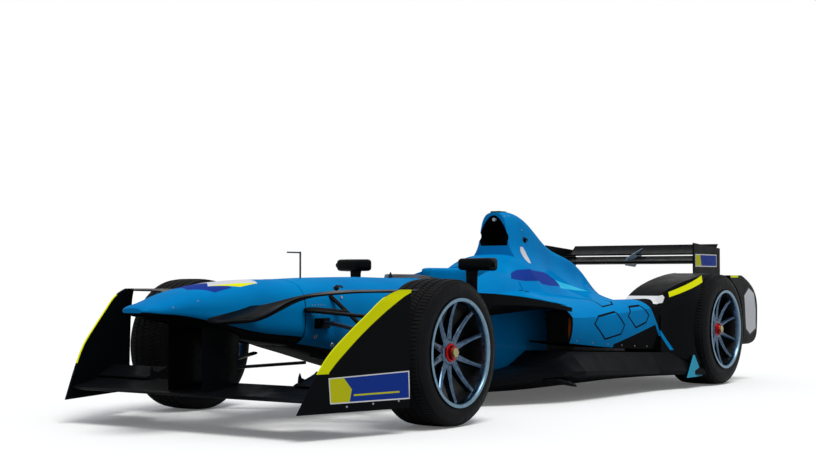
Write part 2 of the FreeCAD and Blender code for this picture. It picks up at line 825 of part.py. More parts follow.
def bridge():
    """Upper element: steep and thick where it leaves the nose, thin and level at the endplate's top."""
    # Out from the middle as a share of the span; lead and trail, each as a share of the overhang
    # ahead and a level; thickness
    bridge_shares = (
        (0.110, 0.745, 0.722, 0.540, 0.800, 3.0),
        (0.150, 0.680, 0.712, 0.505, 0.815, 2.8),
        (0.190, 0.620, 0.716, 0.475, 0.835, 2.5),
        (0.230, 0.572, 0.752, 0.430, 0.864, 2.1),
        (0.262, 0.535, 0.812, 0.385, 0.886, 1.7),
        (0.305, 0.470, 0.868, 0.300, 0.908, 1.3),
        (0.375, 0.395, 0.890, 0.272, 0.916, 1.0),
        (0.450, 0.340, 0.903, 0.262, 0.919, 0.9),
        (0.640, 0.315, 0.910, 0.255, 0.920, 0.9),
    )
    bridge_steps = 13
    wires = []
    for out, lead, lead_level, trail, trail_level, share in spaced(bridge_shares, bridge_steps):
        run = ahead(trail) - ahead(lead)
        rise = (trail_level - lead_level) * tall
        deep = share * size("bridge_thickness")
        wires.append(aerofoil(out * span, ahead(lead), lead_level * tall, math.hypot(run, rise),
                              deep, deep / 4, math.degrees(math.atan2(rise, run))))
    return largest(loft(wires).cut(nose_space).cut(mirrored(nose_space)).cut(outboard))


add("front_wing_bridges", both(bridge()))


# Front suspension


def front_arms():
    x = size("front_track") / 2 - size("kingpin_offset")
    half_tall = size("upright_height") / 2
    chord = size("arm_chord")
    thin = size("arm_thickness")
    boss = size("ball_boss")
    boss_height = size("ball_boss_height")
    upper = V(x, front_axle, front_radius + half_tall)
    lower = V(x, front_axle, front_radius - half_tall)
    upper_roots = (V(0.64 * wide, ahead(0.235), 0.775 * tall), V(0.70 * wide, along(0.070), 0.76 * tall))
    lower_roots = (V(0.50 * wide, ahead(0.160), 0.46 * tall), V(0.62 * wide, along(0.085), 0.36 * tall))
    rod_root = V(0.60 * wide, ahead(0.078), 0.875 * tall)
    solids = []
    for tip, roots in ((upper, upper_roots), (lower, lower_roots)):
        middle = upright_cylinder(tip.x, tip.y, tip.z - boss_height / 2, boss, boss_height)
        joined = middle
        inner_tip = tip - V(0.2 * boss, 0, 0)
        for root in roots:
            joined = joined.fuse(strut(root, inner_tip, chord, thin))
        solids.append(joined)
    push_tip = lower + (lower_roots[1] - lower) * 0.16 + V(0, -0.25 * chord, 0)
    push = strut(rod_root, push_tip, thin * 1.5, thin)
    arms = solids[1].fuse(push)
    result = [solids[0], arms]
    trimmed = []
    for solid in result:
        solid = solid.cut(cell_space)
        solid = solid.cut(nose_space)
        trimmed.append(largest(solid))
    return Part.makeCompound(trimmed)


left_arms = front_arms()
add("front_suspension", both(left_arms))


# Room for the rear wheels, inboard to the diffuser

tyre_inner = size("rear_track") / 2 - size("rear_tyre_width") / 2
arch_radius = rear_radius + size("arch_gap")
pod_out = size("rear_pod_half_width")
arch_inner = tyre_inner - size("arch_gap")
arch = rod(V(arch_inner, rear_axle, rear_radius), V(2 * pod_out, rear_axle, rear_radius), 2 * arch_radius)

# Floor with its skid block and diffuser

floor_base = size("floor_clearance")
floor_thick = size("floor_thickness")
floor_half = size("floor_half_width")
# Along the wheelbase: half width; rise of the edge and of the middle; outer and inner places and
# level of the shoulder on which the pods stand
floor_shares = (
    (0.200, 0.34, 0.30, 0.20, 0.300, 0.280, 0.48),
    (0.330, 0.72, 0.62, 0.00, 0.560, 0.480, 0.95),
    (0.420, 0.93, 0.85, 0.00, 0.740, 0.480, 1.30),
    (0.478, 0.98, 0.80, 0.00, 0.845, 0.480, 2.20),
    (0.600, 1.00, 0.65, 0.00, 0.890, 0.480, 2.00),
    (0.760, 1.02, 0.42, 0.00, 0.950, 0.480, 1.75),
    (0.860, 1.10, 0.26, 0.00, 1.020, 0.480, 1.60),
    (0.915, 1.14, 0.18, 0.00, 1.050, 0.480, 1.55),
)
floor_rise = 0.16 * tall
floor_rings = []
for share, half, edge, middle, shoulder, inside, level in floor_shares:
    y = along(share)
    x = half * floor_half
    flat = 0.55 * x
    low = floor_base + middle * floor_rise
    high = floor_base + edge * floor_rise
    ledge = floor_base + floor_thick + level * floor_rise * 0.8
    under = [V(flat, y, low), V(x, y, high), V(x, y, high + floor_thick), V(shoulder * floor_half, y, ledge),
             V(inside * floor_half, y, ledge), V(inside * floor_half, y, low + floor_thick)]
    mirror_side = [V(-point.x, y, point.z) for point in reversed(under)]
    points = under + mirror_side
    floor_rings.append(Part.makePolygon(points + [points[0]]))
floor = loft(floor_rings, True)
diffuser_rings = []
for y, rise in ((along(0.915), 0.0), (rear_axle, 0.3), (behind(0.72), 1.5)):
    x = tyre_inner - 2 * size("arch_gap")
    low = floor_base + rise * floor_rise
    points = [V(-x, y, low), V(x, y, low), V(x, y, low + floor_thick), V(-x, y, low + floor_thick)]
    diffuser_rings.append(Part.makePolygon(points + [points[0]]))
diffuser = loft(diffuser_rings, True)
fins = []
for share in (-0.9, -0.35, 0.35, 0.9):
    x = share * (tyre_inner - 2 * size("arch_gap"))
    half = size("plate_thickness") / 2
    corners_side = [V(x - half, rear_axle, floor_base + 0.3 * floor_rise + half),
                    V(x - half, behind(0.72), floor_base + 1.5 * floor_rise + half),
                    V(x - half, behind(0.72), floor_base + 0.2 * floor_rise),
                    V(x - half, rear_axle, floor_base)]
    fins.append(Part.Face(Part.makePolygon(corners_side + [corners_side[0]])).extrude(V(2 * half, 0, 0)))
for fin in fins:
    diffuser = diffuser.fuse(fin)
skid_half = size("skid_width") / 2
skid_base = floor_base - size("skid_depth")
skid = box(-skid_half, skid_half, along(0.36), along(0.88), skid_base, floor_base + floor_thick / 2)
floor = floor.fuse(diffuser).removeSplitter()
floor = largest(floor.fuse(skid).cut(arch).cut(mirrored(arch)).cut(cell_space))
add("floor", floor)

# Upright fins at the floor's rear corners, and leaf vanes under its front corners
fin_x = 1.10 * floor_half
fin_rear = rear_axle - arch_radius + 0.45 * size("fin_length")
fin_base = floor_base + 0.10 * floor_rise
fin_half = size("plate_thickness") / 2
fin_points = [V(fin_x, fin_rear - size("fin_length"), fin_base), V(fin_x, fin_rear, fin_base),
              V(fin_x, fin_rear - 0.55 * size("fin_length"), fin_base + size("fin_height"))]
corner_fin = Part.Face(Part.makePolygon(fin_points + [fin_points[0]])).extrude(V(2 * fin_half, 0, 0))
vane_shares = (
    # Along the vane: half width, level above the floor's underside, both as shares of its height
    (0.00, 0.10, 1.00),
    (0.22, 0.62, 1.02),
    (0.50, 0.80, 0.72),
    (0.78, 0.56, 0.40),
    (1.00, 0.08, 0.20),
)
vane_wires = []
for share, half, level in vane_shares:
    y = along(0.392) + share * size("vane_length")
    middle_x = 0.83 * floor_half
    z_vane = floor_base + level * size("vane_height")
    reach = half * size("vane_height")
    edge_points = [V(middle_x - reach, y, z_vane), V(middle_x + reach, y, z_vane),
                   V(middle_x + reach, y, z_vane + size("plate_thickness")),
                   V(middle_x - reach, y, z_vane + size("plate_thickness"))]
    vane_wires.append(Part.makePolygon(edge_points + [edge_points[0]]))
vane = loft(vane_wires, True).cut(floor)
add("floor_vanes", both(largest(vane)))


# Sidepods with open inlets

pod_tall = size("pod_height")
pod_wide = size("pod_half_width")


def edge_level(share):
    """Level where the cover's flank meets the pod's top; it falls steadily to the rear."""
    fall_share = 0.33
    return pod_tall * (0.985 - fall_share * (share - pod_front_share))


def pod_rings(inset, inner):
    """Sections across the left pod: top, outer side, underside and inner side."""
    # Along the wheelbase; outer half width; top at the outer edge; lower edge
    pod_shares = (
        (pod_front_share, 0.930, 0.800, 0.520),
        (0.560, 0.960, 0.800, 0.480),
        (0.660, 0.990, 0.830, 0.440),
        (0.760, 1.000, 0.860, 0.410),
        (0.860, 1.050, 0.880, 0.390),
    )
    wires = []
    for share, outer, top_out, low in pod_shares:
        y = along(share)
        x_out = outer * pod_wide - inset
        x_in = inner * pod_wide
        z_in = edge_level(share) - inset
        z_out = top_out * pod_tall - inset
        z_low = low * pod_tall + inset
        top = [V(x_in, y, z_in), V(0.78 * x_out, y, 0.5 * (z_in + z_out) + 0.02 * pod_tall),
               V(x_out - 0.05 * pod_wide, y, z_out + 0.01 * pod_tall), V(x_out, y, z_out - 0.05 * pod_tall)]
        outer_side = [V(x_out, y, 0.5 * (z_out + z_low)), V(x_out - 0.03 * pod_wide, y, z_low)]
        wires.append(closed_wire((top[1:], outer_side, [V(x_in, y, z_low)], [top[0]])))
    return wires


pod_front_share = 0.478
pod_duct_share = 0.660
pod_inner_share = 0.545
pod_block = loft(pod_rings(0, pod_inner_share))
duct = loft(pod_rings(size("pod_wall"), pod_inner_share))
duct_open = box(0, (pod_inner_share + 0.02) * pod_wide, along(pod_front_share) - over, along(pod_duct_share),
                0.56 * pod_tall, 0.75 * pod_tall)
keep = box(0, 2 * pod_wide, along(pod_front_share) - over, along(pod_duct_share), 0, 2 * pod_tall)
pod_left = largest(pod_block.cut(duct.common(keep)).cut(duct_open))


def shelf():
    """Shelf that widens back along the cell to the mouth of the pod."""
    # Along the wheelbase; inner and outer half width; inner and outer level; depth of its lip
    shelf_shares = (
        (0.230, 0.440, 0.600, 0.985, 0.990, 7.0),
        (0.290, 0.470, 0.720, 0.978, 0.972, 9.0),
        (0.350, 0.500, 0.800, 0.968, 0.945, 7.0),
        (0.420, 0.510, 0.875, 0.960, 0.895, 4.5),
        (pod_front_share, 0.510, 0.925, 0.950, 0.840, 3.5),
    )
    thick = size("bridge_thickness")
    wires = []
    for share, inner, outer, level_in, level_out, lip in shelf_shares:
        y = along(share) - gap
        x_in = inner * pod_wide
        x_out = outer * pod_wide
        z_in = level_in * pod_tall
        z_out = level_out * pod_tall
        z_mid = (z_in + z_out) / 2
        points = [V(x_in, y, z_in - 2 * thick), V(0.9 * x_out, y, z_mid - lip * thick),
                  V(x_out, y, z_out - lip * thick / 2), V(x_out, y, z_out), V(x_in, y, z_in)]
        wires.append(Part.makePolygon(points + [points[0]]))
    return largest(loft(wires, True).cut(cell_space).cut(mirrored(cell_space)))


shoulder_wires = []
for share in (pod_front_share, cell_shares[-1][0]):
    y = along(share) - gap
    x_in = 0.40 * pod_wide
    x_out = pod_inner_share * pod_wide - gap
    z_top = edge_level(share)
    thick = size("bridge_thickness")
    points = [V(x_in, y, z_top - 2 * thick), V(x_out, y, z_top - 2 * thick), V(x_out, y, z_top),
              V(x_in, y, z_top + thick)]
    shoulder_wires.append(Part.makePolygon(points + [points[0]]))
shoulder = largest(loft(shoulder_wires, True).cut(cell_space).cut(mirrored(cell_space)))
shelf_left = shelf().fuse(shoulder)
add("sidepod_shelves", both(shelf_left))
cooler_front = along(pod_duct_share) - size("pod_wall") * 4
cooler = duct.common(box(0.58 * pod_wide, 2 * pod_wide, cooler_front, along(pod_duct_share) - gap,
                         0, 2 * pod_tall))
add("coolers", both(largest(cooler)))


# Battery and motor, plain blocks

battery_y = cell_rear + gap
battery_z = floor_base + floor_thick + gap
cover_low = 0.80 * pod_tall
block_top = cover_low - gap
half = size("battery_width") / 2
battery = box(-half, half, battery_y, battery_y + size("battery_length"), battery_z, block_top)
add("battery", battery)
motor_y = battery_y + size("battery_length") + gap
half = size("motor_width") / 2
motor = box(-half, half, motor_y, motor_y + size("motor_length"), block_top - size("motor_height"), block_top)
add("motor_and_gearbox", motor)


# Roll hoop with its intake, and engine cover

hoop_half = size("hoop_half_width")
cover_tall = size("cover_height")

# Along the wheelbase, half width at the shoulder, top, half width at the base
cover_shares = (
    (0.5605, 0.76, 1.000, 3.40),
    (0.6150, 0.74, 1.000, 3.40),
    (0.6620, 0.68, 0.955, 3.40),
    (0.7070, 0.56, 0.885, 3.40),
    (0.7620, 0.43, 0.810, 3.40),
    (0.8030, 0.38, 0.778, 3.40),
    (0.8630, 0.36, 0.732, 3.30),
    (0.9250, 0.36, 0.632, 2.60),
    (0.9700, 0.36, 0.552, 1.90),
)
# Flank from the base to the neck, at the hoop and along the spine: how far out, how far up
hoop_flank_shares = ((0.72, 0.15), (0.50, 0.28), (0.25, 0.41), (0.09, 0.55))
spine_flank_shares = ((0.76, 0.08), (0.55, 0.17), (0.32, 0.31), (0.12, 0.50))
cover_wires = []
for share, neck, top, base in cover_shares:
    y = along(share)
    z_top = top * cover_tall
    x_neck = neck * hoop_half
    x_base = base * hoop_half
    edge = edge_level(share)
    high = z_top - edge
    crown = [V(0.50 * x_neck, y, edge + 0.980 * high), V(0, y, z_top), V(-0.50 * x_neck, y, edge + 0.980 * high)]
    blend = min(1, (share - cover_shares[0][0]) / (cover_shares[3][0] - cover_shares[0][0]))
    flank = [V(x_base, y, edge)]
    for (hoop_out, hoop_rise), (spine_out, spine_rise) in zip(hoop_flank_shares, spine_flank_shares):
        out = hoop_out + blend * (spine_out - hoop_out)
        rise = hoop_rise + blend * (spine_rise - hoop_rise)
        flank.append(V(x_neck + out * (x_base - x_neck), y, edge + rise * high))
    flank.append(V(x_neck, y, edge + 0.80 * high))
    other = [V(-point.x, y, point.z) for point in reversed(flank)]
    over_top = flank + crown + other
    feet = [V(-x_base, y, cover_low)], [V(x_base, y, cover_low)]
    cover_wires.append(closed_wire((over_top[1:],) + feet + ([over_top[0]],)))
cover = loft(cover_wires)
intake = []
for depth, scale in ((0, 1.0), (1, 0.7)):
    y = along(0.5605) - over + depth * size("intake_depth")
    half = 0.80 * hoop_half * scale
    low = 0.812 * cover_tall
    high = 0.985 * cover_tall
    middle = (low + high) / 2
    reach = (high - low) / 2 * scale
    sides = [V(half, y, middle - reach), V(0.78 * half, y, middle + 0.35 * reach), V(0, y, middle + reach),
             V(-0.78 * half, y, middle + 0.35 * reach), V(-half, y, middle - reach)]
    intake.append(closed_wire((sides[1:], [sides[0]])))
cover = cover.cut(loft(intake))
bore_y = along(0.625)
bore_z = 0.845 * cover_tall
bore = rod(V(-wide, bore_y, bore_z), V(wide, bore_y, bore_z), size("hoop_bore"))
hoop_split = along(0.640)
hoop_part = cover.common(box(-2 * wide, 2 * wide, cell_rear, hoop_split, 0, 2 * cover_tall)).cut(bore)
cover_part = cover.common(box(-2 * wide, 2 * wide, hoop_split + gap, tail_end, 0, 2 * cover_tall))
add("roll_hoop_cowl", largest(hoop_part.cut(cell_space)))
add("engine_cover", cover_part)
add("sidepods", both(pod_left))


# Fairings ahead of and behind the rear wheels

pod_top = size("rear_pod_height")
rear_pod_shares = (
    # Along the wheelbase, inner and outer half width, top, bottom
    (0.800, 0.56, 0.840, 0.760, 0.330),
    (0.860, 0.60, 0.930, 0.900, 0.250),
    (0.910, 0.63, 0.985, 0.960, 0.190),
    (0.950, 0.65, 1.000, 0.990, 0.150),
    (0.985, 0.66, 1.000, 1.000, 0.150),
)
rear_pod_wires = []
for share, inner, outer, top, low in rear_pod_shares:
    y = along(share)
    corners_pod = [V(inner * pod_out, y, low * pod_top), V(outer * pod_out, y, low * pod_top),
                   V(outer * pod_out, y, 0.82 * top * pod_top), V(0.94 * outer * pod_out, y, top * pod_top),
                   V(inner * pod_out, y, top * pod_top)]
    rear_pod_wires.append(Part.makePolygon(corners_pod + [corners_pod[0]]))
rear_pod = loft(rear_pod_wires).cut(arch).cut(pod_block).cut(floor)
rear_pod = largest(rear_pod)
add("floor_fins", both(largest(corner_fin.cut(floor).cut(arch).cut(rear_pod))))

fairing_shares = (
    # Level, depth behind the wheel's room, outer half width
    (0.340, 0.470, 0.985),
    (0.420, 0.920, 1.000),
    (0.600, 1.000, 1.000),
    (0.780, 0.920, 1.000),
    (0.900, 0.590, 0.990),
    (0.980, 0.050, 0.980),
)
fairing_wires = []
fairing_in = tyre_inner - size("rear_plate_clearance") + gap
fairing_front = rear_axle + arch_radius / 2
for level, depth, outer in fairing_shares:
    z = level * pod_top
    rear_y = rear_axle + arch_radius + depth * size("fairing_depth")
    corners_fairing = [V(fairing_in, fairing_front, z), V(outer * pod_out, fairing_front, z),
                       V(outer * pod_out, rear_y, z), V(fairing_in, rear_y, z)]
    fairing_wires.append(Part.makePolygon(corners_fairing + [corners_fairing[0]]))
fairing = loft(fairing_wires).cut(arch)
fairing = largest(fairing)
add("rear_fairings", both(fairing))


# Rear wing

wing_top = size("rear_wing_height")
plate_thick = size("rear_plate_thickness")
plate_half = tyre_inner - size("rear_plate_clearance") - plate_thick
plate_profile = (
    # Share of the rear overhang behind the axle, share of the wing's height
    (0.348, 1.000), (0.940, 0.969), (0.940, 0.700), (0.700, 0.420), (0.620, 0.240),
    (0.300, 0.200), (0.348, 0.640),
)
plate_points = [V(plate_half, behind(share), level * wing_top) for share, level in plate_profile]
plate_face = Part.Face(Part.makePolygon(plate_points + [plate_points[0]]))
add("rear_wing_endplates", both(plate_face.extrude(V(plate_thick, 0, 0)).cut(floor)))
chord = size("rear_wing_chord")
main_plane = loft([aerofoil(x, behind(0.40), 0.865 * wing_top, chord, 0.11 * chord, 0.06 * chord, 8)
                   for x in (-plate_half, plate_half)])
flap = loft([aerofoil(x, behind(0.74), 0.925 * wing_top, 0.52 * chord, 0.07 * chord, 0.05 * chord, 26)
             for x in (-plate_half, plate_half)])
add("rear_wing_planes", Part.makeCompound([main_plane, flap]))
rib_half = size("bridge_thickness") / 4
rib_points = [(0.55, 0.90), (0.92, 0.985), (0.94, 0.965), (0.72, 0.83), (0.52, 0.84)]
rib_line = [V(-rib_half, behind(a), b * wing_top) for a, b in rib_points + rib_points[:1]]
rib = Part.Face(Part.makePolygon(rib_line)).extrude(V(2 * rib_half, 0, 0)).cut(main_plane).cut(flap)
add("rear_wing_rib", largest(rib))

# Rear crash structure, rain light and driveshafts

crash_y = motor_y + size("motor_length") + gap
crash_wires = []
for y, half, low, high in ((crash_y, 0.42, 0.32, 0.66), (behind(0.94), 0.22, 0.37, 0.62)):
    corners_crash = [V(-half * wide, y, low * tall), V(half * wide, y, low * tall),
                     V(half * wide, y, high * tall), V(-half * wide, y, high * tall)]
    crash_wires.append(Part.makePolygon(corners_crash + [corners_crash[0]]))
crash = largest(loft(crash_wires, True).cut(floor))
pin_start = V(0, behind(0.94) - over, 0.44 * tall)
crash = crash.fuse(rod(pin_start, V(0, tail_end, 0.44 * tall), size("jack_pin_diameter")))
add("rear_crash_structure", crash)
lamp_y = behind(0.94) + gap
lamp = box(-0.12 * wide, 0.12 * wide, lamp_y, tail_end, 0.50 * tall, 0.60 * tall)
add("rain_light", lamp)
shafts = []
for side in (1, -1):
    start = V(side * (size("motor_width") / 2 + gap), rear_axle, rear_radius)
    end = V(side * (size("rear_track") / 2 - size("kingpin_offset") - size("upright_thickness") / 2 - gap),
            rear_axle, rear_radius)
    shafts.append(rod(start, end, size("shaft_diameter")))
add("driveshafts", Part.makeCompound(shafts))


def rear_arms(grow):
    """Left rear wishbones, or the room that they need where grow isn't zero."""
    x = size("rear_track") / 2 - size("kingpin_offset")
    half_tall = size("upright_height") / 2
    chord = size("arm_chord") + 2 * grow
    thin = size("arm_thickness") + 2 * grow
    boss = size("ball_boss") + 2 * grow
    boss_height = size("ball_boss_height") + 2 * grow
    upper = V(x, rear_axle, rear_radius + half_tall)
    lower = V(x, rear_axle, rear_radius - half_tall)
    inner = size("motor_width") / 2 + gap
    low_z = battery_z + 3 * floor_thick
    high_z = block_top - floor_thick
    solids = []
    for tip, z in ((upper, high_z), (lower, low_z)):
        joined = upright_cylinder(tip.x, tip.y, tip.z - boss_height / 2, boss, boss_height)
        for way in (-0.10, 0.012):
            root = V(inner, rear_axle + way * size("wheelbase"), z)
            joined = joined.fuse(strut(root, tip - V(0.2 * boss, 0, 0), chord, thin))
        blocks = motor.fuse(crash)
        solid = joined.cut(blocks).cut(floor)
        solids.append(largest(solid))
    return Part.makeCompound(solids)


add("rear_suspension", both(rear_arms(0)))
add("rear_pods", both(largest(rear_pod.cut(rear_arms(gap)))))

# Mirrors and air speed probe

mirror_x = size("mirror_spacing") / 2
half = size("mirror_width") / 2
high = size("mirror_height") / 2
z = 1.105 * tall
y = along(0.284)
deep = size("mirror_depth")
housing = box(mirror_x - half, mirror_x + half, y, y + deep, z - high, z + high)
housing = housing.makeFillet(0.3 * size("mirror_height"), housing.Edges)
post = box(mirror_x - 0.1 * half, mirror_x + 0.1 * half, y + 0.2 * deep, y + 0.8 * deep, 0.80 * tall, z)
mirror = housing.fuse(post).cut(cell_space).cut(shelf_left)
add("mirrors", both(largest(mirror)))

probe_y = along(-0.016)
probe_low = 0.99 * tall
probe_bore = size("probe_diameter")
probe_top = tall + size("probe_height")
tube_share = 0.8
stem = upright_cylinder(0, probe_y, probe_low, probe_bore, probe_top + probe_bore / 2 - probe_low)
tube = rod(V(0, probe_y, probe_top), V(0, probe_y - size("probe_reach"), probe_top), tube_share * probe_bore)
probe = stem.fuse(tube).cut(cell_space)
add("air_speed_probe", largest(probe))

# Seat, headrest, windscreen

seat_y = along(0.36)
seat_points = [(0.00, 0.30), (0.55, 0.27), (0.95, 1.00), (1.10, 1.00), (0.72, 0.10), (0.00, 0.10)]
seat_half = 0.62 * cockpit_half
seat = Part.Face(Part.makePolygon([V(-seat_half, seat_y + a * 0.45 * cockpit_length, b * 0.8 * tall)
                                   for a, b in seat_points + seat_points[:1]]))
seat_room = loft(cell_rings(wall + gap))
seat = seat.extrude(V(2 * seat_half, 0, 0)).common(seat_room)
add("seat", largest(seat))

# Steering: rack with track rods, and the wheel with its column

arm_tip_x = size("front_track") / 2 - size("kingpin_offset")
eye_z = front_radius + size("steering_arm_rise") + gap
plate = size("clevis_plate")
rack_reach = 0.83 * wide
rack = rod(V(-rack_reach, rack_y, rack_height), V(rack_reach, rack_y, rack_height), rack_bore)
for side in (1, -1):
    start = V(side * (rack_reach - rack_bore / 2), rack_y, rack_height)
    end = V(side * arm_tip_x, rack_y, eye_z + size("rod_diameter") / 2)
    eye = upright_cylinder(end.x, end.y, eye_z, size("ball_boss"), plate)
    rack = rack.fuse(rod(start, end - V(side * size("ball_boss") / 4, 0, 0), size("rod_diameter"))).fuse(eye)
add("steering_rack", rack)

grip = size("wheel_grip")
column = rod(column_low, column_high, size("column_diameter"))
axis = column_high - column_low
plate_corner = V(-grip / 2, -size("ball_boss") / 4, -grip / 4)
plate_box = Part.makeBox(grip, size("ball_boss") / 2, grip / 2, plate_corner)
plate_box = plate_box.makeFillet(0.2 * size("ball_boss"), plate_box.Edges)
tilt = math.degrees(math.atan2(axis.z, axis.y))
plate_box.rotate(V(0, 0, 0), V(1, 0, 0), tilt)
plate_box.translate(column_high)
add("steering_wheel", column.fuse(plate_box))

# Check every object, then write each piece


def drawn():
    for item in doc.Objects:
        if item.isDerivedFrom("PartDesign::Body") or item.TypeId == "Part::Feature":
            yield item


doc.recompute()
for item in doc.Objects:
    if "Invalid" in item.State or "Error" in item.State:
        raise RuntimeError("%s failed: %s" % (item.Label, item.State))
os.makedirs("parts", exist_ok=True)
count = 0
for item in drawn():
    if item.Shape.isNull() or not item.Shape.isValid():
        raise RuntimeError("%s has no valid shape" % item.Label)
    item.Shape.exportStep("parts/%s.step" % item.Label)
    bounds = item.Shape.BoundBox
    print("%-26s solids %d  x %7.1f %7.1f  y %8.1f %8.1f  z %7.1f %7.1f  volume %.4f" % (
        item.Label, len(item.Shape.Solids), bounds.XMin, bounds.XMax, bounds.YMin, bounds.YMax,
        bounds.ZMin, bounds.ZMax, item.Shape.Volume / 1e9))
    count += 1
print("pieces", count)
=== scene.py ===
# %% [markdown]
# # An open wheel racing car
# This lesson dresses a full-size single-seat racing car. The solids, joints and sizes come from a
# construction model, the "frame"; here each surface gets its finish, and the small forms that the
# solids leave out are modelled with Blender's mesh operators. Everything is in metres. The car
# faces -Y, its left side is +X, and it stands on the floor at z = 0.

# %% The frame
import bmesh
import bpy
import math
from mathutils import Matrix, Vector
from mathutils.bvhtree import BVHTree


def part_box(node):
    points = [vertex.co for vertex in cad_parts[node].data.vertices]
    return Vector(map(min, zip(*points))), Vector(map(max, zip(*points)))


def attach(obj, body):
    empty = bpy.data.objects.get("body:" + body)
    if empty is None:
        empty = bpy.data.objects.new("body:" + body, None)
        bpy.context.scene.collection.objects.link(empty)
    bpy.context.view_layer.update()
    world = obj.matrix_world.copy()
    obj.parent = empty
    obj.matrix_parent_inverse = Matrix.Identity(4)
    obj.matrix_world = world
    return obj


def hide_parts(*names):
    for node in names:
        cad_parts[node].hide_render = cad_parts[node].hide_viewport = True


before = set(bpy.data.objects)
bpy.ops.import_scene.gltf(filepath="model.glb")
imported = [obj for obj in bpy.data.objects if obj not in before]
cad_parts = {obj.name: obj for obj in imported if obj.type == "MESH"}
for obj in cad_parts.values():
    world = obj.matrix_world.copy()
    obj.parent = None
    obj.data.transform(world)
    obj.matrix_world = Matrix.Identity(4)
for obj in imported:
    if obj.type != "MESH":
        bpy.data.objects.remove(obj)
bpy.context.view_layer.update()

scene = bpy.context.scene
scene.view_settings.view_transform = "Standard"
print("nodes in the frame:", len(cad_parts))

# %% [markdown]
# ## Helpers for finishes
# A finish is a node tree. These helpers keep the trees short: one adds a node with its values and
# links, one mixes two colours, one does a sum. The same trees could be wired by hand in the editor,
# but written this way every number can be read and changed. Colours are written as a picker shows
# them, from 0 to 255, and turned into the linear values that Blender's shaders work in.

# %% Colours and nodes


def colour(red, green, blue):
    """A picked colour as Blender's linear light."""
    steps = [value / 255 for value in (red, green, blue)]
    return tuple(s / 12.92 if s <= 0.04045 else ((s + 0.055) / 1.055) ** 2.4 for s in steps) + (1,)


def feed(tree, made, inputs):
    """Fills a node's inputs; a value that is itself a socket gets linked."""
    for key, value in (inputs or {}).items():
        if isinstance(value, bpy.types.NodeSocket):
            tree.links.new(value, made.inputs[key])
        else:
            made.inputs[key].default_value = value


def node(tree, kind, inputs=None, **settings):
    """A shader node with its settings and inputs."""
    made = tree.nodes.new("ShaderNode" + kind)
    for name, value in settings.items():
        setattr(made, name, value)
    feed(tree, made, inputs)
    return made


def mix(tree, share, first, second):
    """A colour between two others."""
    made = node(tree, "Mix", {0: share, 6: first, 7: second}, data_type="RGBA")
    return made.outputs[2]


def sum_of(tree, operation, first, second=0.0):
    """The result of one sum, such as MULTIPLY or MAXIMUM."""
    return node(tree, "Math", {0: first, 1: second}, operation=operation).outputs[0]


def between(tree, value, low, high, start=0.0, end=1.0):
    """The value's place between two limits, kept inside them."""
    names = {"Value": value, "From Min": low, "From Max": high, "To Min": start, "To Max": end}
    return node(tree, "MapRange", names).outputs[0]


print("node helpers ready")

# %% Groups of nodes


def new_group(name, inputs, outputs):
    """An empty node group with its sockets; its start and end sockets come back too."""
    group = bpy.data.node_groups.new(name, "ShaderNodeTree")
    for label, kind in inputs:
        group.interface.new_socket(name=label, in_out="INPUT", socket_type="NodeSocket" + kind)
    for label, kind in outputs:
        group.interface.new_socket(name=label, in_out="OUTPUT", socket_type="NodeSocket" + kind)
    return group, group.nodes.new("NodeGroupInput").outputs, group.nodes.new("NodeGroupOutput").inputs


def use_group(tree, group, inputs=None):
    """One use of a group; its outputs come back."""
    made = tree.nodes.new("ShaderNodeGroup")
    made.node_tree = group
    feed(tree, made, inputs)
    return made.outputs


def finish(name, **values):
    """A material with plain values on its Principled shader; its tree and shader come back too."""
    material = bpy.data.materials.new(name)
    material.use_nodes = True
    shader = material.node_tree.nodes["Principled BSDF"]
    for label, value in values.items():
        shader.inputs[label.replace("_", " ")].default_value = value
    return material, material.node_tree, shader


def place(tree):
    """The point's place on the car: every piece keeps its place in its mesh."""
    return node(tree, "TexCoord").outputs["Object"]


def bump(tree, shader, height, depth, strength=1.0):
    """Lets a height tilt the shading; depth is in metres."""
    made = node(tree, "Bump", {"Height": height, "Distance": depth, "Strength": strength})
    tree.links.new(made.outputs[0], shader.inputs["Normal"])


print("group helpers ready")

# %% [markdown]
# ## Shapes in the paint
# The livery is made of plain shapes: hexagons, triangles, bars. A convex shape is the part of the
# plane that lies on the inner side of all its edges, so a node group can hold it: for each edge it
# measures how far inside the point is, and keeps the least. That one number gives both the filled
# shape and a line of even width along its edge. A painted image could do the same, but it would blur
# close up, while a sum stays sharp at any distance.

# %% Convex shapes on the side or top of the car


def shape_group(name, corners, axes="YZ"):
    """Distance inside a convex shape, in metres; its corners are read along two of the axes."""
    group, start, end = new_group(name, [("Place", "Vector")], [("Inside", "Float")])
    split = node(group, "SeparateXYZ", {0: start["Place"]}).outputs
    first = split[axes[0]]
    if axes[0] == "X":
        first = sum_of(group, "ABSOLUTE", first)
    second = split[axes[1]]
    pairs = list(zip(corners, corners[1:] + corners[:1]))
    turn = 1 if sum(a[0] * b[1] - b[0] * a[1] for a, b in pairs) > 0 else -1
    least = None
    for (ax, ay), (bx, by) in pairs:
        run = math.hypot(bx - ax, by - ay)
        nx, ny = -turn * (by - ay) / run, turn * (bx - ax) / run
        along = sum_of(group, "MULTIPLY", first, nx)
        both = node(group, "Math", {0: second, 1: ny, 2: along}, operation="MULTIPLY_ADD").outputs[0]
        inward = sum_of(group, "SUBTRACT", both, nx * ax + ny * ay)
        least = inward if least is None else sum_of(group, "MINIMUM", least, inward)
    group.links.new(least, end["Inside"])
    return group


edge_blend = 0.0006


def filled(tree, inside):
    """1 inside a shape and 0 outside, with a blend about a millimetre wide."""
    return between(tree, inside, -edge_blend, edge_blend)


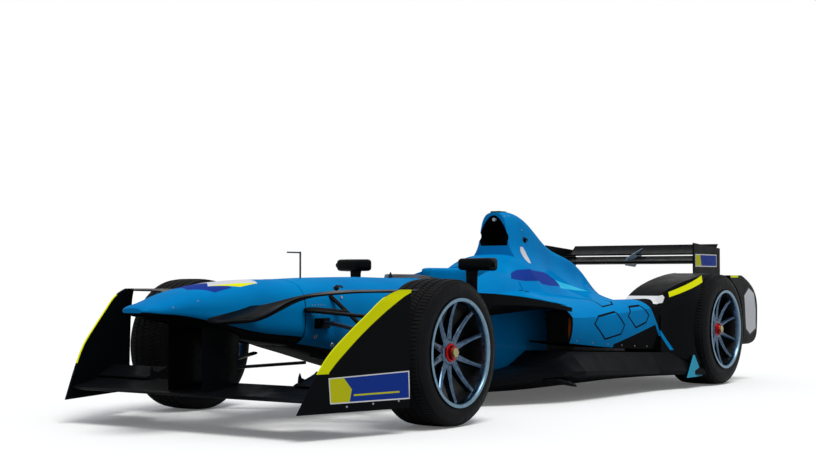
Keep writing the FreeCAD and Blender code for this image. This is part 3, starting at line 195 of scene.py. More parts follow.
def outlined(tree, inside, width):
    """A line of this width along the inner edge of a shape."""
    centre = sum_of(tree, "SUBTRACT", inside, width / 2)
    return filled(tree, sum_of(tree, "SUBTRACT", width / 2, sum_of(tree, "ABSOLUTE", centre)))


def painted(tree, base, point, name, corners, paint, line=None, axes="YZ", where=None):
    """The base colour with one more shape on it, filled or drawn as a line."""
    inside = use_group(tree, shape_group(name, corners, axes), {"Place": point})["Inside"]
    mask = outlined(tree, inside, line) if line else filled(tree, inside)
    if where is not None:
        mask = sum_of(tree, "MULTIPLY", mask, where)
    return mix(tree, mask, base, paint)


print("livery helpers ready")

# %% [markdown]
# ## Blue lacquer
# The bodywork is carbon fibre under a clear-coated blue. Real lacquer is never one flat tone: it has
# a faint orange peel, a slight drift in tone from panel to panel, and a film of dust that dulls the
# gloss in places. Three sizes of noise stand for the three, in one group that every painted piece
# shares. The group gives drift, roughness and height; gloss itself stays in the material.

# %% The lacquer group
bright_blue = colour(3, 138, 206)
deep_blue = colour(3, 122, 190)
black = colour(10, 12, 14)
yellow = colour(233, 238, 14)
white = colour(232, 233, 235)
navy = colour(28, 58, 148)
pale_blue = colour(58, 172, 208)


def lacquer_group():
    """Drift between two blues, roughness from dust, and height from orange peel."""
    group, start, end = new_group("lacquer", [("Place", "Vector")],
                                  [("Drift", "Float"), ("Roughness", "Float"), ("Height", "Float")])
    at = start["Place"]
    panels = node(group, "TexNoise", {"Vector": at, "Scale": 2.6, "Detail": 3.0}).outputs["Fac"]
    grains = {"Vector": at, "Scale": 23.0, "Detail": 5.0, "Roughness": 0.7}
    dust = node(group, "TexNoise", grains).outputs["Fac"]
    peel = node(group, "TexNoise", {"Vector": at, "Scale": 210.0, "Detail": 1.0}).outputs["Fac"]
    group.links.new(between(group, panels, 0.3, 0.7), end["Drift"])
    group.links.new(between(group, dust, 0.35, 0.75, 0.20, 0.32), end["Roughness"])
    group.links.new(peel, end["Height"])
    return group


lacquer = lacquer_group()


def lacquered(name, livery=None):
    """Clear-coated paint; the livery function may lay more colours over the blue."""
    material, tree, shader = finish(name, Coat_Weight=0.035, Coat_Roughness=0.04, Specular_IOR_Level=0.0)
    at = place(tree)
    coat = use_group(tree, lacquer, {"Place": at})
    paint = mix(tree, coat["Drift"], bright_blue, deep_blue)
    if livery:
        paint = livery(tree, at, paint)
    tree.links.new(paint, shader.inputs["Base Color"])
    tree.links.new(coat["Roughness"], shader.inputs["Roughness"])
    bump(tree, shader, coat["Height"], 0.00004)
    return material


print("lacquer ready")

# %% [markdown]
# ## Black carbon
# Wings, floor, pylons and arms are bare carbon fibre under a satin coat. The cloth is a twill: small
# squares of fibre that run crosswise, each catching the light in its own way. A fine checker stands
# for it, at the real 2.5 mm, and stays nearly black. It is turned about all three axes, because a
# checker that lies square to a flat wall shows stripes or nothing there.

# %% The carbon group


def carbon_group():
    """Weave and height from a checker, and roughness from smears on the coat."""
    group, start, end = new_group("carbon", [("Place", "Vector")],
                                  [("Weave", "Float"), ("Roughness", "Float"), ("Height", "Float")])
    turned = node(group, "Mapping", {"Vector": start["Place"], "Rotation": (0.6, 0.7, 0.78)}).outputs[0]
    squares = node(group, "TexChecker", {"Vector": turned, "Scale": 400.0,
                                         "Color1": (0, 0, 0, 1), "Color2": (1, 1, 1, 1)}).outputs["Fac"]
    wiped = {"Vector": start["Place"], "Scale": 11.0, "Detail": 4.0}
    smears = node(group, "TexNoise", wiped).outputs["Fac"]
    group.links.new(squares, end["Weave"])
    group.links.new(between(group, smears, 0.3, 0.7, 0.30, 0.46), end["Roughness"])
    group.links.new(squares, end["Height"])
    return group


carbon = carbon_group()


def carbon_finish(name, livery=None):
    """Bare carbon; the livery function may lay colours over it."""
    material, tree, shader = finish(name, Specular_IOR_Level=0.02, Coat_Weight=0.02, Coat_Roughness=0.10)
    at = place(tree)
    cloth = use_group(tree, carbon, {"Place": at})
    paint = mix(tree, cloth["Weave"], colour(6, 7, 9), colour(13, 15, 18))
    if livery:
        paint = livery(tree, at, paint)
    tree.links.new(paint, shader.inputs["Base Color"])
    tree.links.new(cloth["Roughness"], shader.inputs["Roughness"])
    bump(tree, shader, cloth["Height"], 0.00005, 0.5)
    return material


print("carbon ready")

# %% [markdown]
# ## Which side of a wall
# Some solids are painted outside and bare inside: the survival cell, the air intake, the sidepods.
# The surface normal tells them apart: outside, it points away from the car's middle line. The sign
# of x times the normal's x is a mask that works on both halves of the car at once, so the solids
# need no second material and no cut.

# %% Masks from the normal


def wall_masks(tree):
    """Outward is 1 on outer walls, up is how far the surface looks upwards, and the place by axis."""
    facing = node(tree, "SeparateXYZ", {0: node(tree, "NewGeometry").outputs["Normal"]}).outputs
    at = node(tree, "SeparateXYZ", {0: place(tree)}).outputs
    side = sum_of(tree, "MULTIPLY", at["X"], facing["X"])
    outward = sum_of(tree, "GREATER_THAN", side, 0.0)
    return outward, facing["Z"], at


def above(tree, value, level):
    """1 where the value is over a level and 0 where it is under."""
    return between(tree, value, level - 0.0008, level + 0.0008)


def inverse(tree, value):
    """The other side of a mask."""
    return sum_of(tree, "SUBTRACT", 1.0, value)


print("wall masks ready")

# %% [markdown]
# ## Livery of the nose and the cell
# Below a crease the nose and the cell are black, as painted shade for the car's dark underside.
# On top of the nose lie a navy wedge and a pale stripe with a yellow edge; these are plain colour
# fields. Inside, the cell is bare carbon. Each field is one convex shape, laid over the blue in the
# order in which a painter would mask them.

# %% Nose and cell paint
crease = [(-2.52, 0.520), (-2.19, 0.470), (-1.60, 0.358), (-1.60, 0.0), (-2.52, 0.0)]
cell_crease = [(-1.70, 0.376), (-1.41, 0.330), (-0.30, 0.135), (-0.30, 0.0), (-1.70, 0.0)]
nose_wedge = [(0.0, -2.205), (0.050, -2.228), (0.115, -2.124), (0.111, -2.010), (0.0, -2.060)]
nose_stripe = [(0.067, -2.117), (0.113, -1.957), (0.105, -1.833), (0.0, -1.790), (0.0, -2.050)]
nose_edge = [(0.067, -2.117), (0.113, -1.957), (0.105, -1.833), (0.088, -1.925)]
badge = [(0.125, 0.634), (0.50, 0.621), (0.640, 0.607), (0.734, 0.654), (0.664, 0.697), (0.355, 0.717),
         (0.248, 0.712), (0.170, 0.690), (0.110, 0.660)]


def nose_livery(tree, at, paint):
    """Colour fields on top; black painted shade under the crease and wherever the skin looks down."""
    paint = painted(tree, paint, at, "nose_wedge", nose_wedge, navy, axes="XY")
    paint = painted(tree, paint, at, "nose_stripe", nose_stripe, colour(214, 214, 222), axes="XY")
    paint = painted(tree, paint, at, "nose_edge", nose_edge, yellow, axes="XY")
    # painted shade: skin that looks down turns black, and so does everything below the crease
    up = wall_masks(tree)[1]
    underside = inverse(tree, above(tree, up, -0.55))
    paint = mix(tree, underside, paint, black)
    return painted(tree, paint, at, "nose_crease", crease, black)


def cell_livery(tree, at, paint):
    """Blue shell over a belly painted black as shade; the walls inside the cockpit stay bare."""
    outward, up, spot = wall_masks(tree)
    # painted shade: black below the crease line, for the car's dark underside
    paint = painted(tree, paint, at, "cell_crease", cell_crease, black)
    paint = painted(tree, paint, at, "cell_badge", badge, navy)
    upper = above(tree, spot["Z"], 0.585)
    cheek = sum_of(tree, "MULTIPLY", upper, above(tree, up, -0.2))
    shell = sum_of(tree, "MAXIMUM", outward, cheek)
    low_inside = sum_of(tree, "MULTIPLY", above(tree, up, 0.3), inverse(tree, above(tree, spot["Z"], 0.30)))
    bare = sum_of(tree, "MAXIMUM", inverse(tree, shell), low_inside)
    return mix(tree, bare, paint, black)


nose_paint = lacquered("nose_paint", nose_livery)
cell_paint = lacquered("cell_paint", cell_livery)
print("nose and cell painted")

# %% [markdown]
# ## Livery of the cowl, the cover and the sidepods
# The roll hoop cowl is black inside its intake. The engine cover carries on the navy field and a
# pale tail behind it. The sidepods have hexagons drawn as thin black lines, a black triangle low on
# the side, and a blue strip that divides it from the black rear. Corners are read on the side view
# as (y, z), so a field runs on without a break from one solid to the next.

# %% Shapes on the cowl, the cover and the sidepods
pale_tail = [(0.60, 0.607), (0.75, 0.600), (1.20, 0.583), (1.02, 0.621), (0.68, 0.662)]
hexagon_front = [(0.346, 0.411), (0.396, 0.457), (0.588, 0.479), (0.689, 0.398), (0.648, 0.342),
                 (0.477, 0.317)]
hexagon_rear = [(0.720, 0.445), (0.777, 0.504), (0.910, 0.510), (1.000, 0.449), (0.957, 0.400),
                (0.821, 0.373)]
hexagon_top = [(0.557, 0.551), (0.638, 0.511), (0.638, 0.650), (0.599, 0.705), (0.500, 0.720),
               (0.470, 0.600)]
pod_triangle = [(0.583, 0.291), (1.075, 0.388), (1.201, 0.235), (1.250, 0.10), (0.583, 0.10)]
pod_rear = [(0.985, 0.530), (1.228, 0.235), (2.0, 0.20), (2.0, 0.80), (0.985, 0.80)]
pod_strip = [(0.958, 0.530), (0.985, 0.530), (1.228, 0.235), (1.201, 0.235)]
pod_patch = [(0.990, 0.519), (1.158, 0.556), (1.190, 0.575), (1.200, 0.550), (1.175, 0.517), (1.120, 0.510)]
pod_bar = [(1.236, 0.581), (1.553, 0.683), (1.531, 0.640), (1.229, 0.550)]
hoop_spot = [(0.518, 0.752), (0.548, 0.752), (0.564, 0.776), (0.564, 0.824), (0.548, 0.848), (0.518, 0.848),
             (0.502, 0.824), (0.502, 0.776)]
hexagon_line = 0.0105
print("hexagons:", len((hexagon_front, hexagon_rear, hexagon_top)), "with lines", hexagon_line, "m wide")

# %% Cowl and cover paint


def cowl_livery(tree, at, paint):
    """Blue outside; black in the duct, under its roof and on its sill."""
    outward, up, spot = wall_masks(tree)
    paint = painted(tree, paint, at, "cowl_badge", badge, navy)
    behind_lip = above(tree, spot["Y"], 0.3925)
    near = inverse(tree, above(tree, sum_of(tree, "ABSOLUTE", spot["X"]), 0.0905))
    low = inverse(tree, above(tree, spot["Z"], 0.90))
    sill = sum_of(tree, "MULTIPLY", near, low)
    roof = inverse(tree, above(tree, up, -0.1))
    inside = sum_of(tree, "MAXIMUM", inverse(tree, outward), sum_of(tree, "MAXIMUM", sill, roof))
    duct = sum_of(tree, "MULTIPLY", inside, behind_lip)
    duct = sum_of(tree, "MULTIPLY", duct, above(tree, spot["Z"], 0.835))
    paint = painted(tree, paint, at, "hoop_spot", hoop_spot, colour(214, 212, 214), where=outward)
    return mix(tree, duct, paint, black)


def cover_livery(tree, at, paint):
    """The navy field of the cowl ends here, in front of a pale tail."""
    paint = painted(tree, paint, at, "pale_tail", pale_tail, colour(52, 186, 226))
    return painted(tree, paint, at, "cover_badge", badge, navy)


cowl_paint = lacquered("cowl_paint", cowl_livery)
cover_paint = lacquered("cover_paint", cover_livery)
print("cowl and cover painted")

# %% Sidepod, shelf and rear pod paint


def pod_livery(tree, at, paint):
    """Hexagon lines and fields outside; black on every wall of the inlet but its blue brow."""
    outward, up, spot = wall_masks(tree)
    for name, corners in (("hexagon_front", hexagon_front), ("hexagon_rear", hexagon_rear)):
        paint = painted(tree, paint, at, name, corners, black, line=hexagon_line)
    on_top = above(tree, up, 0.35)
    paint = painted(tree, paint, at, "hexagon_top", hexagon_top, black, line=hexagon_line, axes="XY",
                    where=on_top)
    paint = painted(tree, paint, at, "pod_triangle", pod_triangle, black)
    paint = painted(tree, paint, at, "pod_rear", pod_rear, black)
    paint = painted(tree, paint, at, "pod_patch_front", pod_patch, white)
    duct_roof = inverse(tree, above(tree, up, -0.35))
    low = inverse(tree, above(tree, spot["Z"], 0.36))
    duct_floor = sum_of(tree, "MULTIPLY", above(tree, up, 0.35), low)
    duct = sum_of(tree, "MAXIMUM", duct_roof, duct_floor)
    inside = sum_of(tree, "MAXIMUM", inverse(tree, outward), duct)
    mouth = inverse(tree, above(tree, spot["Y"], 0.1335))
    brow = sum_of(tree, "MULTIPLY", above(tree, spot["Z"], 0.530), mouth)
    inside = sum_of(tree, "MULTIPLY", inside, inverse(tree, brow))
    return mix(tree, inside, paint, black)


def shelf_livery(tree, at, paint):
    """The shoulder behind the black lip carries on the blue of the sidepod's top."""
    up, spot = wall_masks(tree)[1:]
    shoulder = sum_of(tree, "MULTIPLY", above(tree, up, 0.25), above(tree, spot["Y"], 0.13))
    return mix(tree, shoulder, paint, bright_blue)


def rear_pod_livery(tree, at, paint):
    """The blue strip, the yellow bar and the white patch on the black carbon."""
    paint = painted(tree, paint, at, "rear_pod_strip", pod_strip, bright_blue)
    paint = painted(tree, paint, at, "rear_pod_bar", pod_bar, yellow)
    return painted(tree, paint, at, "rear_pod_patch", pod_patch, white)


pod_paint = lacquered("pod_paint", pod_livery)
plain_paint = lacquered("plain_paint")
rear_pod_finish = carbon_finish("rear_pod_carbon", rear_pod_livery)
shelf_finish = carbon_finish("shelf_carbon", shelf_livery)
print("sidepods, shelves and rear pods painted")

# %% [markdown]
# ## Livery of the front wing's endplates
# A yellow band runs up the front edge and round it on to the outer face, and a label field sits low
# at the back of that face: a plain block of yellow and blue with a pale border, with nothing written
# on it. The band is what is left of the plate when one big black shape is taken away, so its inner
# edge can bend while its outer edge is the plate's own. A smooth curve through a few points gives
# the bend.

# %% Endplate paint


def eased(points, steps):
    """More points on a smooth curve through the given ones."""
    ends = [2 * Vector(points[0]) - Vector(points[1])] + [Vector(p) for p in points]
    ends.append(2 * Vector(points[-1]) - Vector(points[-2]))
    line = []
    for a, b, c, d in zip(ends, ends[1:], ends[2:], ends[3:]):
        for step in range(steps):
            t = step / steps
            line.append(tuple(0.5 * (2 * b + (c - a) * t + (2 * a - 5 * b + 4 * c - d) * t ** 2
                                     + (3 * b - a - 3 * c + d) * t ** 3)))
    return line + [tuple(points[-1])]


field_edge = [(-2.107, 0.277), (-2.064, 0.324), (-1.974, 0.406), (-1.880, 0.481), (-1.787, 0.545),
              (-1.680, 0.601), (-1.50, 0.645)]
plate_field = eased(field_edge, 3) + [(-1.50, 0.0), (-2.107, 0.0)]
label = [(-2.109, 0.255), (-1.704, 0.269), (-1.700, 0.150), (-2.099, 0.149)]
label_inner = [(-2.104, 0.251), (-1.709, 0.264), (-1.705, 0.155), (-2.095, 0.154)]
label_side = [(-2.104, 0.251), (-2.035, 0.2535), (-1.995, 0.205), (-2.005, 0.1545), (-2.095, 0.154)]
label_bar = [(-1.985, 0.184), (-1.755, 0.186), (-1.755, 0.179), (-1.985, 0.177)]
label_yellow = colour(205, 205, 30)


def endplate_livery(tree, at, paint):
    """The band on the outer face and the front edge, then the label's fields."""
    outward, up, spot = wall_masks(tree)
    inside = use_group(tree, shape_group("plate_field", plate_field), {"Place": at})["Inside"]
    band = sum_of(tree, "MULTIPLY", inverse(tree, filled(tree, inside)), above(tree, spot["Z"], 0.272))
    facing = node(tree, "SeparateXYZ", {0: node(tree, "NewGeometry").outputs["Normal"]}).outputs
    front_edge = sum_of(tree, "LESS_THAN", facing["Y"], -0.45)
    band = sum_of(tree, "MULTIPLY", band, sum_of(tree, "MAXIMUM", outward, front_edge))
    paint = mix(tree, band, paint, yellow)
    for name, corners, tone in (("label", label, white), ("label_inner", label_inner, navy),
                                ("label_side", label_side, label_yellow),
                                ("label_bar", label_bar, label_yellow)):
        paint = painted(tree, paint, at, name, corners, tone, where=outward)
    return paint


endplate_finish = carbon_finish("endplate_carbon", endplate_livery)
print("endplates painted")

# %% Fairing and rear wing paint
fairing_bar = [(1.940, 0.670), (2.070, 0.670), (2.070, 0.700), (1.940, 0.700)]
fairing_plate = [(2.224, 0.612), (2.316, 0.574), (2.346, 0.455), (2.343, 0.328), (2.226, 0.288),
                 (2.148, 0.328), (2.119, 0.558)]
fairing_inner = [(2.224, 0.600), (2.304, 0.566), (2.332, 0.455), (2.330, 0.336), (2.226, 0.302),
                 (2.160, 0.338), (2.132, 0.552)]
rear_label = [(2.035, 0.825), (2.395, 0.825), (2.395, 0.742), (2.035, 0.742)]
rear_label_inner = [(2.041, 0.819), (2.389, 0.819), (2.389, 0.748), (2.041, 0.748)]
rear_label_side = [(2.041, 0.819), (2.115, 0.819), (2.135, 0.748), (2.041, 0.748)]


def fairing_livery(tree, at, paint):
    """A blank pale hexagon with a grey edge on the outer face, and a yellow dash on the top edge."""
    outward = wall_masks(tree)[0]
    for name, corners, tone in (("fairing_edge", fairing_plate, colour(52, 55, 60)),
                                ("fairing_plate", fairing_inner, colour(206, 208, 212)),
                                ("fairing_bar", fairing_bar, yellow)):
        paint = painted(tree, paint, at, name, corners, tone, where=outward)
    return paint


def rear_plate_livery(tree, at, paint):
    """A smaller label of the same kind on the rear wing's endplate."""
    outward = wall_masks(tree)[0]
    for name, corners, tone in (("rear_label", rear_label, white),
                                ("rear_label_inner", rear_label_inner, navy),
                                ("rear_label_side", rear_label_side, label_yellow)):
        paint = painted(tree, paint, at, name, corners, tone, where=outward)
    return paint


rear_plate_finish = carbon_finish("rear_plate_carbon", rear_plate_livery)
fairing_finish = carbon_finish("fairing_carbon", fairing_livery)
black_carbon = carbon_finish("black_carbon_cloth")
print("fairings and rear wing painted")

# %% [markdown]
# ## Metals, rubber, glass and cloth
# Machined metal shows the tool's fine turning marks, so its roughness and bump come from noise that
# is stretched along one way. Rubber is dull and slightly uneven. The screen is a thin smoked sheet.
# One function makes each family, because its members differ only in tone, roughness and grain.

# %% Metals


def metal_finish(name, dark, light, rough=(0.2, 0.35), scale=(60, 60, 60), metallic=1.0, depth=0.00006):
    """Metal whose tone and roughness follow fine marks, drawn out by the mapping's scale."""
    material, tree, shader = finish(name, Metallic=metallic)
    marks_at = node(tree, "Mapping", {"Vector": place(tree), "Scale": scale}).outputs[0]
    marks = node(tree, "TexNoise", {"Vector": marks_at, "Scale": 6.0, "Detail": 6.0}).outputs["Fac"]
    tree.links.new(mix(tree, between(tree, marks, 0.3, 0.7), dark, light), shader.inputs["Base Color"])
    tree.links.new(between(tree, marks, 0.25, 0.75, *rough), shader.inputs["Roughness"])
    bump(tree, shader, marks, depth)
    return material


rim_metal = metal_finish("rim_metal", colour(54, 72, 92), colour(80, 101, 122), (0.14, 0.26), (9, 9, 9))
rim_lip_metal = metal_finish("rim_lip_metal", colour(92, 120, 140), colour(112, 140, 158),
                             (0.28, 0.40), (30, 9, 9))
disc_metal = metal_finish("disc_metal", colour(46, 44, 44), colour(70, 68, 68),
                          (0.35, 0.5), (3, 60, 60), 0.8)
steel = metal_finish("steel_marks", colour(120, 126, 134), colour(150, 156, 164), (0.25, 0.4), (20, 60, 60))
dark_steel = metal_finish("dark_steel", colour(44, 48, 56), colour(66, 72, 82), (0.3, 0.45), (20, 60, 60))
machined = metal_finish("machined_alloy", colour(96, 102, 110), colour(130, 136, 144),
                        (0.3, 0.45), (60, 8, 60))
caliper_metal = metal_finish("caliper_anodised", colour(54, 70, 88), colour(86, 104, 122),
                             (0.3, 0.4), (14, 14, 14))
battery_shell = metal_finish("battery_shell", colour(12, 13, 15), colour(24, 25, 28),
                             (0.4, 0.55), (8, 8, 8), 0.2)
cast = metal_finish("cast_marks", colour(70, 72, 76), colour(104, 106, 110),
                    (0.45, 0.6), (30, 30, 30), 0.9, 0.0004)
red_anodised = metal_finish("red_anodised", colour(120, 10, 16), colour(176, 22, 26),
                            (0.25, 0.35), (30, 30, 30))
olive_metal = metal_finish("olive_metal", colour(128, 122, 84), colour(164, 156, 112),
                           (0.3, 0.45), (30, 30, 30))
# painted highlight: the centre rib is a pale grey-blue all over, for the light that its edges catch
rib_highlight_grey = metal_finish("rib_highlight_grey_coat", colour(74, 98, 118), colour(92, 118, 138),
                          (0.35, 0.5), (4, 4, 4), 0.2)
print("metals ready")

# %% Rubber, screen, cloth and lamp


def rubber_finish(name, dark, light, scale=70.0, rough=(0.62, 0.8), depth=0.0004):
    """Dull rubber or plastic: scuffs change the tone, grain changes the roughness and the height."""
    material, tree, shader = finish(name, Specular_IOR_Level=0.08)
    grain = node(tree, "TexNoise", {"Vector": place(tree), "Scale": scale, "Detail": 8.0}).outputs["Fac"]
    scuffs = node(tree, "TexNoise", {"Vector": place(tree), "Scale": 7.0, "Detail": 3.0}).outputs["Fac"]
    tree.links.new(mix(tree, between(tree, scuffs, 0.35, 0.7), dark, light), shader.inputs["Base Color"])
    tree.links.new(between(tree, grain, 0.3, 0.7, *rough), shader.inputs["Roughness"])
    bump(tree, shader, grain, depth, 0.6)
    return material


def screen_finish():
    """A smoked sheet with a faint haze."""
    material, tree, shader = finish("smoked_screen", Roughness=0.06, IOR=1.49, Transmission_Weight=0.75,
                                    Specular_IOR_Level=0.5)
    haze = node(tree, "TexNoise", {"Vector": place(tree), "Scale": 14.0, "Detail": 3.0}).outputs["Fac"]
    tree.links.new(mix(tree, haze, colour(120, 112, 106), colour(150, 142, 136)), shader.inputs["Base Color"])
    return material


def lamp_finish():
    """Red lens: small raised cells in a grid scatter the light of the rain lamp."""
    material, tree, shader = finish("rain_lens", Roughness=0.12, IOR=1.49, Transmission_Weight=0.3,
                                    Coat_Weight=0.6)
    grid = {"Vector": place(tree), "Scale": 110.0, "Randomness": 0.0}
    cells = node(tree, "TexVoronoi", grid).outputs["Distance"]
    tree.links.new(mix(tree, between(tree, cells, 0.0, 0.5), colour(190, 22, 20), colour(110, 8, 10)),
                   shader.inputs["Base Color"])
    bump(tree, shader, cells, 0.0008)
    return material


def cloth_finish(name, dark, light, threads=900.0):
    """Woven cloth: two sets of threads cross, and each shows a little light on its crown."""
    material, tree, shader = finish(name, Roughness=0.85, Sheen_Weight=0.3, Sheen_Roughness=0.4)
    at = place(tree)
    warp = node(tree, "TexWave", {"Vector": at, "Scale": threads / 20, "Distortion": 0.6},
                bands_direction="X").outputs["Fac"]
    weft = node(tree, "TexWave", {"Vector": at, "Scale": threads / 20, "Distortion": 0.6},
                bands_direction="DIAGONAL").outputs["Fac"]
    weave = sum_of(tree, "MULTIPLY", warp, weft)
    tree.links.new(mix(tree, weave, dark, light), shader.inputs["Base Color"])
    bump(tree, shader, weave, 0.0004)
    return material


tread_rubber = rubber_finish("tread_rubber", colour(15, 16, 18), colour(25, 25, 26), 90.0, (0.7, 0.85),
                             0.0006)
side_rubber = rubber_finish("side_rubber", colour(5, 6, 8), colour(9, 10, 13), 50.0, (0.55, 0.68), 0.0002)
grip_rubber = rubber_finish("grip_rubber_grain", colour(22, 22, 24), colour(34, 34, 36), 160.0)
smoked_screen = screen_finish()
rain_lens = lamp_finish()
seat_cloth = cloth_finish("seat_cloth", colour(22, 23, 27), colour(48, 49, 54))
belt_cloth = cloth_finish("belt_cloth", colour(16, 34, 70), colour(34, 64, 120), 1400.0)
orange_sleeve = rubber_finish("orange_sleeve", colour(168, 74, 20), colour(204, 98, 30), 120.0, (0.45, 0.6))
plate_white = rubber_finish("plate_white", colour(196, 198, 202), colour(212, 214, 217), 8.0, (0.3, 0.4),
                            0.0001)
mirror_glass = metal_finish("mirror_glass", colour(196, 204, 210), colour(204, 212, 218),
                            (0.02, 0.05), (2, 2, 2))
print("rubber, screen, cloth and lamp ready")

# %% [markdown]
# ## Dressing the frame's solids
# Each solid of the frame is already in its place, so its object only gets its material in its first
# slot. This could be done object by object in the editor; a table keeps the pairs together, and the
# count at its end shows that no solid was missed.

# %% Materials on the frame's nodes
fin_paint = carbon_finish("fin_paint", lambda tree, at, paint: mix(tree, 0.97, paint, pale_blue))
dressing = {
    nose_paint: ["nose_cone"],
    cell_paint: ["survival_cell"],
    cowl_paint: ["roll_hoop_cowl"],
    cover_paint: ["engine_cover"],
    pod_paint: ["sidepods"],
    plain_paint: ["headrest"],
    rear_pod_finish: ["rear_pods"],
    shelf_finish: ["sidepod_shelves"],
    endplate_finish: ["front_wing_endplates"],
    rear_plate_finish: ["rear_wing_endplates"],
    fairing_finish: ["rear_fairings"],
    fin_paint: ["floor_fins"],
    rib_highlight_grey: ["rear_wing_rib"],
    rain_lens: ["rain_light"],
    smoked_screen: ["windscreen"],
    seat_cloth: ["seat"],
    grip_rubber: ["steering_wheel"],
    dark_steel: ["air_speed_probe", "steering_rack"],
    steel: ["driveshafts"],
    machined: ["knuckle_left", "knuckle_right", "rear_uprights"],
    caliper_metal: ["front_caliper_left", "front_caliper_right", "rear_calipers"],
    battery_shell: ["battery"],
    cast: ["motor_and_gearbox"],
    disc_metal: ["coolers"],
    black_carbon: ["nose_pylons", "front_wing_main_plane", "front_wing_flaps", "front_wing_bridges",
                   "front_suspension", "floor", "floor_vanes",
                   "rear_wing_planes", "rear_crash_structure", "rear_suspension", "mirrors"],
}
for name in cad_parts:
    if name.startswith(("tyre_", "rim_", "hub_")):
        finish_of = {"tyre": side_rubber, "rim": rim_metal, "hub": disc_metal}[name.split("_")[0]]
        dressing.setdefault(finish_of, []).append(name)
for material, names in dressing.items():
    for name in names:
        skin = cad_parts[name].data
        skin.materials.clear()
        skin.materials.append(material)
dressed = sum(len(names) for names in dressing.values())
print("dressed nodes:", dressed, "of", len(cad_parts))

# %% [markdown]
# ## From a bmesh to a piece of the car
# Every new form ends the same way: doubles are merged, normals are turned outwards, the mesh gets
# its materials, edges sharper than a limit stay crisp, and the object is tied to the body that
# carries it. The object itself stays at the origin; its place on the car is in its vertices, so it
# turns with its body as a solid of the frame does.

# %% Finishing a piece


def finish_piece(name, shape, materials, body, replaced=(), crease_deg=32):
    """Makes an object of a bmesh and ties it to a body; it may stand in for nodes of the frame."""
    bmesh.ops.remove_doubles(shape, verts=shape.verts, dist=0.00002)
    bmesh.ops.recalc_face_normals(shape, faces=shape.faces)
    mesh = bpy.data.meshes.new(name)
    shape.to_mesh(mesh)
    shape.free()
    for material in materials:
        mesh.materials.append(material)
    mesh.shade_smooth()
    mesh.set_sharp_from_angle(angle=math.radians(crease_deg))
    piece = bpy.data.objects.new(name, mesh)
    scene.collection.objects.link(piece)
    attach(piece, body)
    if replaced:
        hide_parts(*replaced)
    return piece


def add_shape(target, source):
    """Adds one bmesh to another through a passing mesh."""
    passing = bpy.data.meshes.new("passing")
    source.to_mesh(passing)
    source.free()
    target.from_mesh(passing)
    bpy.data.meshes.remove(passing)


print("finishing helpers ready")

# %% Spinning, placing and boxes


def spun(profile, steps, closed=True):
    """A section, given as (x, radius) pairs, turned once round the X axis."""
    shape = bmesh.new()
    corners = [shape.verts.new((x, 0, radius)) for x, radius in profile]
    ends = corners[1:] + corners[:1] if closed else corners[1:]
    edges = [shape.edges.new(pair) for pair in zip(corners, ends)]
    bmesh.ops.spin(shape, geom=corners + edges, cent=(0, 0, 0), axis=(1, 0, 0), angle=math.tau,
                   steps=steps, use_merge=True, use_duplicate=False)
    return shape


def put(shape, x, y, z, side=1):
    """Moves a shape from the origin to its place; side -1 turns it to face the car's right."""
    if side < 0:
        half_turn = Matrix.Rotation(math.pi, 3, "Z")
        bmesh.ops.rotate(shape, verts=shape.verts, cent=(0, 0, 0), matrix=half_turn)
    bmesh.ops.translate(shape, verts=shape.verts, vec=(x, y, z))
    return shape


def soften(shape, edges, offset, segments=2):
    """A round bevel on some edges."""
    bmesh.ops.bevel(shape, geom=edges, offset=offset, segments=segments, profile=0.5, affect="EDGES",
                    material=-1)


def block(shape, low, high, soft=0.0, segments=2):
    """A box between two corners, its edges softened by a bevel."""
    size = [b - a for a, b in zip(low, high)]
    middle = [(a + b) / 2 for a, b in zip(low, high)]
    matrix = Matrix.Translation(middle) @ Matrix.Diagonal(size + [1])
    made = bmesh.ops.create_cube(shape, size=1.0, matrix=matrix)["verts"]
    if soft:
        soften(shape, list({edge for vert in made for edge in vert.link_edges}), soft, segments)
    return shape


print("shape helpers ready")

# %% [markdown]
# ## Tyres
# These are grooved tyres: five ribs run round the tread, cut crosswise into blocks, and a row of
# fine teeth edges each shoulder. The section is drawn once and spun in 108 steps. The faces of the
# ribs are then inset one by one and raised, so that what stays low between them becomes the grooves
# and slits. Turning each ring of vertices a little, in step with its place across the tread, slants
# the slits. A bump pattern would be lighter, but at the tyre's edge against the sky it would show
# a smooth line where the real tread is notched.

# %% Tyre sizes and section
# Side of the car, middle x, middle y, radius, half the tyre's width, half the rim's width
wheels = {
    "front_left": (1, 0.748, -1.35, 0.330, 0.127, 0.131),
    "front_right": (-1, 0.748, -1.35, 0.330, 0.127, 0.131),
    "rear_left": (1, 0.728, 1.75, 0.346, 0.145, 0.151),
    "rear_right": (-1, 0.728, 1.75, 0.346, 0.145, 0.151),
}
block_height = 0.0058
tread_steps = 108
drawn_half = 0.127  # half the width at which the ribs were drawn
rib_edges = (0.0175, 0.0255, 0.058, 0.066, 0.1035)
crown_drops = (0.0, 0.0001, 0.0008, 0.0011, 0.0055)
ribs = ((0.0, rib_edges[0]), rib_edges[1:3], rib_edges[3:5])


def tyre_half(radius, half):
    """The outer half of the section, from the tread's middle line to the bead."""
    wide = half / drawn_half
    crown = zip(rib_edges, crown_drops)
    points = [(x * wide, radius - block_height - drop) for x, drop in crown]
    points += [(half * 0.868, radius - 0.0135), (half * 0.905, radius - 0.0200),
               (half * 0.950, radius - 0.0320), (half * 0.990, radius - 0.0500), (half, radius - 0.0660),
               (half * 0.985, 0.2520)]
    return points + [(half * 0.955, 0.2400), (half * 0.930, 0.2330)]


print("tyre section has", len(tyre_half(0.330, drawn_half)), "points on each half")

# %% Tread and teeth


def shoulder_faces(shape, half):
    """The narrow band of faces between the outer rib and the side wall."""
    return [face for face in shape.faces if 0.872 * half < abs(face.calc_center_median().x) < 0.90 * half]


